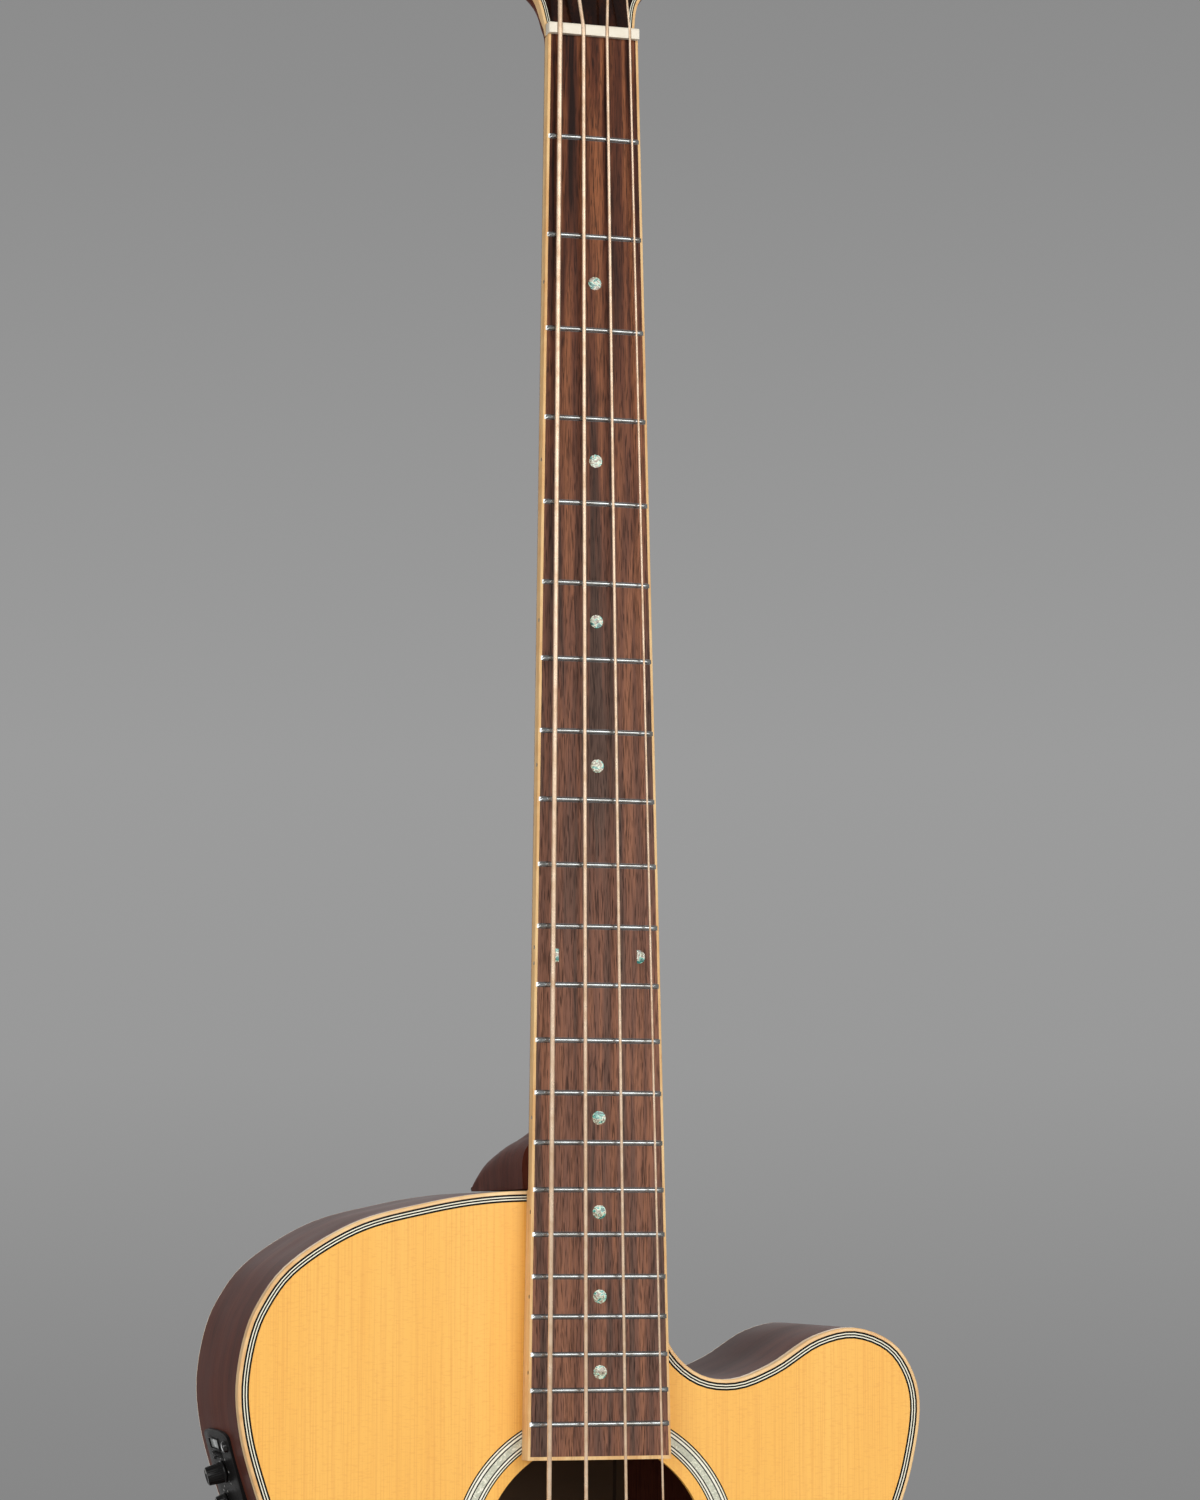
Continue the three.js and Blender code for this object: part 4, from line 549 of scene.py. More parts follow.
def plate(rings: Sequence[Sequence[Point]], front: float, back: Union[float, Callable[[Vector], float]],
          round_front: float = 0.0) -> BMesh:
    """A plate in the X and Z directions with holes.

    Args:
        rings: the outline and then its holes.
        front: the depth of its front face.
        back: the depth of its back face, or a function of a point that gives it.
        round_front: the radius of its outer front edge.
    Returns:
        The mesh.
    """
    mesh = bmesh.new()
    edges = [edge for ring in rings for edge in loop(mesh, [Vector((x, front, z)) for x, z in ring])]
    rim = edges[:len(rings[0])]
    for vert in extruded(mesh, fill(mesh, edges)):
        vert.co.y = back(vert.co) if callable(back) else back
    outwards(mesh)
    if round_front:
        soften(mesh, [edge for edge in rim if edge.is_valid], round_front, 3)
    return mesh


def stripes(rings: Sequence[Sequence[Point]], front: float, back: float) -> list[BMesh]:
    """Flat bands between each ring and the next, dark and pale in turn."""
    bands = [plate(pair, front, back) for pair in zip(rings, rings[1:])]
    for i, band in enumerate(bands):
        for face in band.faces:
            face.material_index = i % 2
    return bands


def soften(mesh: BMesh, edges: Sequence[BMEdge], offset: float, segments: int = 2) -> None:
    """Rounds edges."""
    bmesh.ops.bevel(
        mesh, geom=list(edges), offset=offset, segments=segments, profile=0.5, affect="EDGES", material=-1,
        clamp_overlap=True)


def corners(
        mesh: BMesh, degrees: float, where: Callable[[Vector], bool] = lambda spot: True) -> list[BMEdge]:
    """The edges between faces that meet at more than an angle, with both ends where a test holds."""
    limit = math.radians(degrees)
    return [edge for edge in mesh.edges if len(edge.link_faces) == 2 and edge.calc_face_angle(0.0) > limit
            and all(where(vert.co) for vert in edge.verts)]


def loft(rings: Sequence[Sequence[Vector]]) -> BMesh:
    """A skin through rings of points, closed at both ends."""
    mesh = bmesh.new()
    loops = [loop(mesh, ring) for ring in rings]
    for first, second in zip(loops, loops[1:]):
        bmesh.ops.bridge_loops(mesh, edges=[*first, *second])
    for ends in (loops[0], loops[-1]):
        bmesh.ops.contextual_create(mesh, geom=ends)
    return outwards(mesh)


def turned(profile: Sequence[Point], steps: int) -> BMesh:
    """A round solid about the Z axis, from pairs of radius and height."""
    mesh = bmesh.new()
    edges = chain(mesh, [Vector((radius, 0, height)) for radius, height in profile])
    bmesh.ops.spin(
        mesh, geom=[*mesh.verts, *edges], cent=(0, 0, 0), axis=(0, 0, 1), angle=2 * math.pi, steps=steps,
        use_merge=True)
    bmesh.ops.remove_doubles(mesh, verts=mesh.verts[:], dist=SAME_PLACE)
    return outwards(mesh)


def rod(radius: float, low: float, high: float, steps: int) -> BMesh:
    """A plain round rod about the Z axis."""
    return turned([(0, low), (radius, low), (radius, high), (0, high)], steps)


def block(low: Sequence[float], high: Sequence[float], radius: float = 0.0) -> BMesh:
    """A block between two corners with softened edges."""
    mesh = bmesh.new()
    bmesh.ops.create_cube(mesh, size=1.0)
    size = Vector(high) - Vector(low)
    bmesh.ops.scale(mesh, vec=size, verts=mesh.verts[:])
    bmesh.ops.translate(mesh, vec=(Vector(high) + Vector(low)) / 2, verts=mesh.verts[:])
    if radius:
        soften(mesh, mesh.edges[:], radius)
    return mesh


def moved(mesh: BMesh, matrix: Matrix) -> BMesh:
    """A mesh moved by a matrix."""
    bmesh.ops.transform(mesh, matrix=matrix, verts=mesh.verts[:])
    if matrix.determinant() < 0:
        bmesh.ops.reverse_faces(mesh, faces=mesh.faces[:])
    return mesh


def mirrored(side: Sequence[Point], shared: int = 1) -> list[Point]:
    """One side of an outline and its mirror image, with so many last points on the middle line."""
    return [*side, *((-x, z) for x, z in reversed(side[:len(side) - shared]))]


def stored(mesh: BMesh, name: str = "part") -> bpy.types.Mesh:
    """A working mesh, which is used up, as one of the file's meshes."""
    data = bpy.data.meshes.new(name)
    mesh.to_mesh(data)
    mesh.free()
    return data


def shown(data: bpy.types.ID, name: str = "part") -> bpy.types.Object:
    """A new object in the scene with that data."""
    item = bpy.data.objects.new(name, data)
    bpy.context.scene.collection.objects.link(item)
    return item


def together(meshes: Iterable[BMesh]) -> BMesh:
    """Several meshes as one."""
    whole = bmesh.new()
    for mesh in meshes:
        data = stored(mesh)
        whole.from_mesh(data)
        bpy.data.meshes.remove(data)
    return whole


def shaped(mesh: BMesh, cutters: Sequence[BMesh]) -> BMesh:
    """A mesh with other closed meshes cut from it."""
    objects = [shown(stored(source)) for source in (mesh, *cutters)]
    for other in objects[1:]:
        modifier = objects[0].modifiers.new("cut", "BOOLEAN")
        modifier.operation, modifier.object, modifier.solver = "DIFFERENCE", other, "EXACT"
    evaluated = objects[0].evaluated_get(bpy.context.evaluated_depsgraph_get())
    result = bmesh.new()
    result.from_mesh(evaluated.to_mesh())
    evaluated.to_mesh_clear()
    for item in objects:
        data = item.data
        bpy.data.objects.remove(item)
        bpy.data.meshes.remove(data)
    return result


def tube(path: Sequence[Vector], radius: float, roundness: int) -> BMesh:
    """A round bar along a line of points."""
    curve = bpy.data.curves.new("part", "CURVE")
    curve.dimensions, curve.use_fill_caps = "3D", True
    curve.bevel_depth, curve.bevel_resolution = 1.0, roundness
    spline = curve.splines.new("POLY")
    spline.points.add(len(path) - 1)
    for point, place in zip(spline.points, path):
        point.co, point.radius = (*place, 1.0), radius
    holder = shown(curve)
    data = bpy.data.meshes.new_from_object(holder.evaluated_get(bpy.context.evaluated_depsgraph_get()))
    mesh = bmesh.new()
    mesh.from_mesh(data)
    bpy.data.objects.remove(holder)
    bpy.data.curves.remove(curve)
    bpy.data.meshes.remove(data)
    bmesh.ops.remove_doubles(mesh, verts=mesh.verts[:], dist=SAME_PLACE)
    return mesh


@dataclass
class Piece:
    """What a finished mesh is: its name, its finishes, and the CAD that it rides on and stands for."""

    name: str
    finishes: Sequence[Finish]
    slot: str
    replaces: Sequence[str] = ()
    body: str = GUITAR
    smooth: float = 32.0

    def make(self, mesh: BMesh, place: Optional[Matrix] = None) -> None:
        """Makes the object from a mesh in millimetres.

        Args:
            mesh: the mesh, which is used up.
            place: the frame that the mesh is in, or none for the body's own.
        """
        if place is not None:
            moved(mesh, place)
        bmesh.ops.scale(mesh, vec=(MM,) * 3, verts=mesh.verts[:])
        data = stored(mesh, self.name)
        data.shade_smooth()
        data.set_sharp_from_angle(angle=math.radians(self.smooth))
        for finish in self.finishes:
            data.materials.append(finish.material())
        piece = shown(data, self.name)
        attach(piece, self.body)
        if self.replaces:
            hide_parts(*self.replaces)
        log.info("%s: %d faces", self.name, len(data.polygons))


def dress(nodes: Iterable[str], finish: Finish) -> None:
    """Gives CAD nodes that stay in view a finish."""
    for name in nodes:
        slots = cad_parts[name].data.materials
        slots.clear()
        slots.append(finish.material())


# Shared sizes of the frame

SCALE_LENGTH = 863.6
NECK_LEAN = math.radians(-1.2)
HEAD_LEAN = math.radians(-15.0)
NECK = Matrix.Rotation(NECK_LEAN, 4, "X")
HEAD_DEPTH = 6.8
HEAD_UP = 5.0
HEAD = NECK @ Matrix.Translation((0, HEAD_DEPTH, HEAD_UP)) @ Matrix.Rotation(HEAD_LEAN, 4, "X")
TO_FRONT = Matrix.Rotation(math.pi / 2, 4, "X")
TO_REAR = Matrix.Rotation(-math.pi / 2, 4, "X")
TO_TREBLE = Matrix.Rotation(math.pi / 2, 4, "Y")
TO_BASS = Matrix.Rotation(-math.pi / 2, 4, "Y")
STRING_NAMES = ("e", "a", "d", "g")
JOINT_FRET = 16
LAST_FRET = 22
DEPTH_AT_NECK = 106.0
BODY_LENGTH = 520.5
MIDDLE_X = 1.2


def fret_distance(fret: float) -> float:
    """Distance from the nut to a fret."""
    return SCALE_LENGTH * (1 - 2 ** (-fret / 12))


JOINT_DISTANCE = fret_distance(JOINT_FRET)
JOINT_Z = -JOINT_DISTANCE * math.cos(NECK_LEAN)
UNDER_BOARD = 9.6
TOP_Y = UNDER_BOARD + JOINT_DISTANCE * math.sin(NECK_LEAN)


def at_point(x: float, y: float, z: float) -> Matrix:
    """The frame with its origin at a point."""
    return Matrix.Translation((x, y, z))


def smooth_line(points: Sequence[Point], spacing: float) -> list[Point]:
    """A rounded line through points, as the CAD rounds it.

    Args:
        points: the points that the line passes.
        spacing: the longest step between the points of the result.
    Returns:
        The points of the rounded line, ends included.
    """
    ends = [Vector(point) for point in points]
    ends = [2 * ends[0] - ends[1], *ends, 2 * ends[-1] - ends[-2]]
    line = [tuple(ends[1])]
    for before, start, end, after in zip(ends, ends[1:], ends[2:], ends[3:]):
        gaps = [max((b - a).length, 1e-6) ** 0.5 for a, b in ((before, start), (start, end), (end, after))]
        whole = gaps[0] + gaps[1], gaps[1] + gaps[2]
        leave = (start - before) / gaps[0] - (end - before) / whole[0] + (end - start) / gaps[1]
        arrive = (end - start) / gaps[1] - (after - start) / whole[1] + (after - end) / gaps[2]
        leave, arrive = leave * gaps[1], arrive * gaps[1]
        steps = max(1, math.ceil((end - start).length / spacing))
        for i in range(1, steps + 1):
            t = i / steps
            spot = (start * (2 * t**3 - 3 * t**2 + 1) + leave * (t**3 - 2 * t**2 + t)
                    + end * (3 * t**2 - 2 * t**3) + arrive * (t**3 - t**2))
            line.append(tuple(spot))
    return line


def inset(outline: Sequence[Point], distance: float) -> list[Point]:
    """A closed outline moved inwards, without the points that would cross over at a corner."""
    points = [Vector(point) for point in outline]
    count = len(points)
    result = []
    for i, point in enumerate(points):
        arriving = (point - points[i - 1]).normalized()
        leaving = (points[(i + 1) % count] - point).normalized()
        turn = 1 + arriving.dot(leaving)
        spot = point + Vector((-arriving.y - leaving.y, arriving.x + leaving.x)) * (distance / max(turn, 0.2))
        result.append(spot)
    least = abs(distance) * 0.985
    kept = []
    for spot in result:
        near = min(_distance(spot, a, points[(i + 1) % count]) for i, a in enumerate(points))
        if near >= least:
            kept.append((spot.x, spot.y))
    return kept


def _distance(spot: Vector, start: Vector, end: Vector) -> float:
    """Distance of a point from a line between two others."""
    edge = end - start
    share = min(1.0, max(0.0, (spot - start).dot(edge) / max(edge.length_squared, 1e-9)))
    return (spot - start - edge * share).length


def circle(x: float, z: float, radius: float, count: int) -> list[Point]:
    """The points of a circle."""
    return [(x + radius * math.cos(2 * math.pi * i / count), z + radius * math.sin(2 * math.pi * i / count))
            for i in range(count)]


# The body


@dataclass
class Body:
    """The body shell: top, back, rim, bindings, purfling and rosette."""

    length: float = BODY_LENGTH
    half_width: float = 214.0
    centre: float = MIDDLE_X
    depth_at_neck: float = DEPTH_AT_NECK
    depth_at_tail: float = 120.0
    top: float = 3.0
    back: float = 2.8
    side: float = 2.5
    binding: float = 1.5
    binding_height: float = 6.0
    back_binding_height: float = 1.3
    gap: float = 0.1
    purfling: float = 3.1
    line_offsets: tuple[float, ...] = (0.0, 0.74, 1.2, 1.9, 2.36, 3.1)
    hole: float = 50.6
    hole_drop: float = 158.2
    spacing: float = 5.0
    hole_steps: int = 128
    rosette_steps: int = 160
    rosette_proud: float = 0.02
    rosette_depth: float = 1.4
    front_round: float = 0.7
    back_round: float = 0.6
    bass: tuple[Point, ...] = (
        (0, 0), (0.2215, 0.0024), (0.3625, 0.0119), (0.5061, 0.0284), (0.6408, 0.0638),
        (0.6927, 0.0924), (0.7173, 0.1156), (0.7354, 0.16), (0.726, 0.2012), (0.6938, 0.2479),
        (0.657, 0.29), (0.6161, 0.3482), (0.6028, 0.4171), (0.6202, 0.4627), (0.6742, 0.517),
        (0.7754, 0.5714), (0.8933, 0.6223), (0.9647, 0.6675), (1, 0.7229), (0.9535, 0.8146),
        (0.7862, 0.9017), (0.5232, 0.9647), (0.2167, 0.9946), (0, 1))
    treble: tuple[Point, ...] = (
        (0.2161, 0.9948), (0.523, 0.9646), (0.7839, 0.9017), (0.9505, 0.8147), (0.9981, 0.7228),
        (0.9629, 0.6674), (0.891, 0.6223), (0.7727, 0.5715), (0.6721, 0.5172), (0.6171, 0.4625),
        (0.5963, 0.4169), (0.5994, 0.3484), (0.6335, 0.289), (0.6774, 0.2343), (0.6971, 0.1774),
        (0.6768, 0.1479), (0.6364, 0.1278), (0.5559, 0.1157), (0.4714, 0.1226), (0.3751, 0.1463),
        (0.294, 0.158), (0.2243, 0.1544), (0.1653, 0.1348), (0.1311, 0.0976), (0.1235, 0.0465),
        (0.1235, 0))
    rosette: tuple[tuple[float, int], ...] = (
        (55.7, 0), (56.25, 1), (56.7, 0), (57.25, 2), (58.0, 0), (58.55, 3), (61.2, 0), (61.75, 2),
        (62.7, 0), (63.25, 1), (63.8, 0), (64.4, 0))

    def __post_init__(self) -> None:
        """Works out the outline once."""
        self.outline = smooth_line([
            (self.centre + side * x * self.half_width, JOINT_Z - z * self.length)
            for side, line in ((-1, self.bass), (1, self.treble)) for x, z in line], self.spacing)
        self.hole_z = JOINT_Z - self.hole_drop

    def back_at(self, spot: Vector, inwards: float = 0.0) -> float:
        """Depth of the slanted back at a point, or of a face inside it."""
        slope = (self.depth_at_tail - self.depth_at_neck) / self.length
        return TOP_Y + self.depth_at_neck + (JOINT_Z - spot.z) * slope - inwards * math.hypot(1, slope)

    def build(self) -> None:
        """Builds and dresses the whole shell."""
        self._top()
        self._purfling()
        self._rosette()
        self._rim()
        self._back()

    def _top(self) -> None:
        """The spruce top with its soundhole."""
        edge = self.binding + self.gap + self.purfling + self.gap
        hole = circle(self.centre, self.hole_z, self.hole, self.hole_steps)
        mesh = plate([inset(self.outline, edge), hole], TOP_Y, TOP_Y + self.top)
        Piece("spruce_top", [SPRUCE], "spruce", ["soundboard"]).make(mesh)

    def _purfling(self) -> None:
        """Five lines of black and white fibre inside the binding."""
        start = self.binding + self.gap
        rings = [inset(self.outline, start + offset) for offset in self.line_offsets]
        lines = stripes(rings, TOP_Y, TOP_Y + self.top)
        Piece("purfling_lines", [PURFLE_DARK, PURFLE_PALE], "ebony", ["top_purfling"]).make(together(lines))

    def _rosette(self) -> None:
        """Rings of black, white, cream and pearl round the soundhole, let into the top."""
        mesh = bmesh.new()
        depth = TOP_Y - self.rosette_proud
        centre = Vector((self.centre, depth, self.hole_z))
        spoke = [Vector((self.centre + radius, depth, self.hole_z)) for radius, _ in self.rosette]
        edges = chain(mesh, spoke)
        bmesh.ops.spin(
            mesh, geom=[*mesh.verts, *edges], cent=centre, axis=(0, 1, 0), angle=2 * math.pi,
            steps=self.rosette_steps, use_merge=True)
        faces = mesh.faces[:]
        for face in faces:
            radius = (face.calc_center_median() - centre).length
            face.material_index = next(
                kind for (_, kind), (end, _) in zip(self.rosette, self.rosette[1:]) if radius <= end)
        for vert in extruded(mesh, faces):
            vert.co.y = TOP_Y + self.rosette_depth
        finishes = [PURFLE_DARK, PURFLE_PALE, CREAM, PEARL_STRIP]
        Piece("rosette_rings", finishes, "pearl", ["rosette"]).make(outwards(mesh))

    def _rim(self) -> None:
        """The bent sides and the two bindings."""
        ring = [self.outline, inset(self.outline, self.binding)]
        binding = plate(ring, TOP_Y, TOP_Y + self.binding_height, self.front_round)
        Piece("top_edge_binding", [MAPLE], "maple", ["top_binding"]).make(binding)
        front = TOP_Y + self.binding_height + self.gap
        sides = plate(
            [self.outline, inset(self.outline, self.side)], front,
            lambda spot: self.back_at(spot, self.back_binding_height + self.gap))
        Piece("bent_sides", [MAHOGANY_SIDE], "mahogany", ["side_bass", "side_treble"]).make(sides)
        lower = plate(ring, front, self.back_at)
        for vert in lower.verts:
            if vert.co.y < front + SAME_PLACE:
                vert.co.y = self.back_at(vert.co, self.back_binding_height)
        rim = corners(lower, 60.0, lambda spot: spot.y > self.back_at(spot, 0.01))
        soften(lower, rim, self.back_round, 3)
        Piece("back_edge_binding", [MAPLE], "maple", ["back_binding"]).make(lower)

    def _back(self) -> None:
        """The two-piece back."""
        inner = inset(self.outline, self.binding + self.gap)
        mesh = plate([inner], 0.0, self.back_at)
        for vert in mesh.verts:
            if vert.co.y < SAME_PLACE:
                vert.co.y = self.back_at(vert.co, self.back)
        Piece("mahogany_back", [MAHOGANY_BACK], "mahogany", ["back_plate"]).make(mesh)


@dataclass
class Inside:
    """What shows through the soundhole: blocks, linings, braces and a plain label."""

    above: float = 0.02
    paper: float = 0.18

    def build(self, body: Body) -> None:
        """Dresses the bracing and glues in the label."""
        braces = ["x_brace", "upper_brace", "tone_bar", *(f"back_brace_{i}" for i in (1, 2, 3))]
        dress([*braces, "top_lining", "back_lining"], BRACING)
        dress(["neck_block", "tail_block"], MAHOGANY_NECK)
        dress(["bridge_plate"], MAPLE)
        dress(["truss_rod"], NICKEL)
        dress(["battery"], CELL)
        (x, z), (wide, high) = PAPER.centre, PAPER.half
        ring = [(x - wide, z - high), (x + wide, z - high), (x + wide, z + high), (x - wide, z + high)]
        middle = Vector((0, 0, z))
        inner = body.back_at(middle, body.back) - self.above
        mesh = plate([ring], inner - self.paper, inner)
        for vert in mesh.verts:
            vert.co.y += body.back_at(vert.co) - body.back_at(middle)
        Piece("paper_label", [PAPER], "bone").make(mesh)


# Neck and fretboard


@dataclass
class Board:
    """The fretboard with its frets, binding and inlays."""

    nut_width: float = 42.0
    end_width: float = 64.3
    past_last_fret: float = 15.2
    radius: float = 400.0
    thickness: float = 7.0
    binding: float = 1.2
    end_binding: float = 1.5
    fret_width: float = 1.9
    fret_height: float = 1.1
    fret_inset: float = 0.7
    dot_radius: float = 3.0
    double_at: float = 18.5
    dots: tuple[int, ...] = (3, 5, 7, 9, 15, 17, 19, 21)
    seat: float = 0.3
    start: float = -0.75
    section_step: float = 30.0
    crown_steps: int = 16
    fret_steps: int = 12
    fret_crown_steps: int = 8
    fret_bevel: float = 1.6
    slot_margin: float = 0.22
    slot_depth: float = 0.3
    side_dot: tuple[float, float] = (2.6, 0.9)
    side_pair: float = 3.5
    octave: int = 12

    @property
    def length(self) -> float:
        """Length of the board from the nut."""
        return fret_distance(LAST_FRET) + self.past_last_fret

    def half(self, z: float) -> float:
        """Half width of the board at a height."""
        return (self.nut_width - z / self.length * (self.end_width - self.nut_width)) / 2

    def drop(self, x: float) -> float:
        """How far the round surface falls away at a distance from the middle."""
        return self.radius - math.sqrt(self.radius**2 - x**2)

    def floor(self, z: float) -> float:
        """Depth of the underside, which follows the top past the joint."""
        if z > -JOINT_DISTANCE:
            return self.thickness
        return (TOP_Y - self.seat + z * math.sin(NECK_LEAN)) / math.cos(NECK_LEAN)

    def _rings(self, narrower: float, start: float, end: float, rise: float = 0.0) -> list[list[Vector]]:
        """Sections of the board between two heights."""
        step = self.section_step
        heights = [start, *(-step * i for i in range(1, 22) if end < -step * i < start)]
        heights += [-JOINT_DISTANCE + self.seat, -JOINT_DISTANCE - self.seat, end]
        rings = []
        for z in sorted(set(heights), reverse=True):
            half = self.half(z) - narrower
            across = [half * (2 * i / self.crown_steps - 1) for i in range(self.crown_steps + 1)]
            crown = [Vector((x, self.drop(x) - rise, z)) for x in across]
            rings.append([*crown, Vector((half, self.floor(z), z)), Vector((-half, self.floor(z), z))])
        return rings

    def build(self) -> None:
        """Builds the board, frets and inlays."""
        end = -self.length + self.end_binding
        core = loft(self._rings(self.binding + 0.02, self.start, end + 0.02))
        Piece("rosewood_board", [ROSEWOOD], "rosewood", ["fretboard"]).make(core, NECK)
        self._edge(end)
        self._frets()
        self._inlays()

    def _edge(self, end: float) -> None:
        """The maple strips along both sides and across the end."""
        outer = loft(self._rings(0.0, self.start, -self.length))
        past = 3.0
        inner = loft(self._rings(self.binding, past, end, past))
        for vert in inner.verts:
            if vert.co.y > self.thickness - 1.0:
                vert.co.y += past
        strips = shaped(outer, [inner])
        soften(strips, corners(strips, 60.0, self._on_top_edge), 0.25)
        Piece("board_edge_binding", [MAPLE_BOARD], "maple", ["fretboard_binding"]).make(strips, NECK)

    def _on_top_edge(self, spot: Vector) -> bool:
        """Whether a point is on the outer upper edge of the board."""
        return abs(abs(spot.x) - self.half(spot.z)) < 0.05 and spot.y < 2.5

    def _frets(self) -> None:
        """Frets with a round crown that follow the board, and bevelled ends."""
        frets = range(1, LAST_FRET + 1)
        wires = together(self._fret(fret) for fret in frets)
        Piece("fret_wires", [FRET_WIRE], "nickel", (), GUITAR, 50.0).make(wires, NECK)
        # Dark strips along the frets' feet: the slots' joints, and painted shade under the frets' edges.
        Piece("fret_slots_and_shade", [EBONY], "ebony").make(together(self._slot_and_shade(fret) for fret in frets), NECK)

    def _fret(self, fret: int) -> BMesh:
        """One fret, which leans in at its ends."""
        z = -fret_distance(fret)
        reach = self.half(z) - self.fret_inset
        rings = []
        for i in range(self.fret_steps + 1):
            x = reach * (1 - 2 * i / self.fret_steps)
            ring = []
            for j in range(self.fret_crown_steps + 1):
                turn = math.pi * j / self.fret_crown_steps
                up = self.fret_height * math.sin(turn)
                slant = -math.copysign(self.fret_bevel * up, x) if i in (0, self.fret_steps) else 0.0
                ring.append(Vector((x + slant, self.drop(x) - up, z + self.fret_width / 2 * math.cos(turn))))
            rings.append(ring)
        return loft(rings)

    def _slot_and_shade(self, fret: int) -> BMesh:
        """The dark line along both feet of a fret: its slot's dark joint, and painted shade where the fret
        shades the board.
        """
        z = -fret_distance(fret)
        reach = self.half(z) - self.binding
        half = self.fret_width / 2 + self.slot_margin
        section = ((-0.02, -half), (-0.02, half), (self.slot_depth, half), (self.slot_depth, -half))
        rings = []
        for i in range(self.fret_steps + 1):
            x = reach * (2 * i / self.fret_steps - 1)
            rings.append([Vector((x, self.drop(x) + rise, z + side)) for rise, side in section])
        return loft(rings)

    def _disc(self, x: float, y: float, z: float, radius: float, facing: Matrix) -> BMesh:
        """A thin round inlay."""
        mesh = turned([(0, 0.03), (radius - 0.1, 0.03), (radius, 0), (radius, -0.5), (0, -0.5)], 28)
        return moved(mesh, at_point(x, y, z) @ facing)

    def _between(self, fret: int) -> float:
        """Height of the middle between a fret and the one before it."""
        return -(fret_distance(fret) + fret_distance(fret - 1)) / 2

    def _inlays(self) -> None:
        """Pearl dots in the playing surface and dark dots in the bass side."""
        spots = [(0.0, self._between(fret)) for fret in self.dots]
        spots += [(x, self._between(self.octave)) for x in (-self.double_at, self.double_at)]
        dots = [self._disc(x, self.drop(x), z, self.dot_radius, TO_FRONT) for x, z in spots]
        Piece("position_dots", [ABALONE], "pearl").make(together(dots), NECK)
        heights = [self._between(fret) for fret in self.dots]
        heights += [self._between(self.octave) + shift for shift in (-self.side_pair, self.side_pair)]
        y, radius = self.side_dot
        sides = [self._disc(-self.half(z), y, z, radius, TO_BASS) for z in heights]
        Piece("side_dots", [EBONY], "ebony").make(together(sides), NECK)


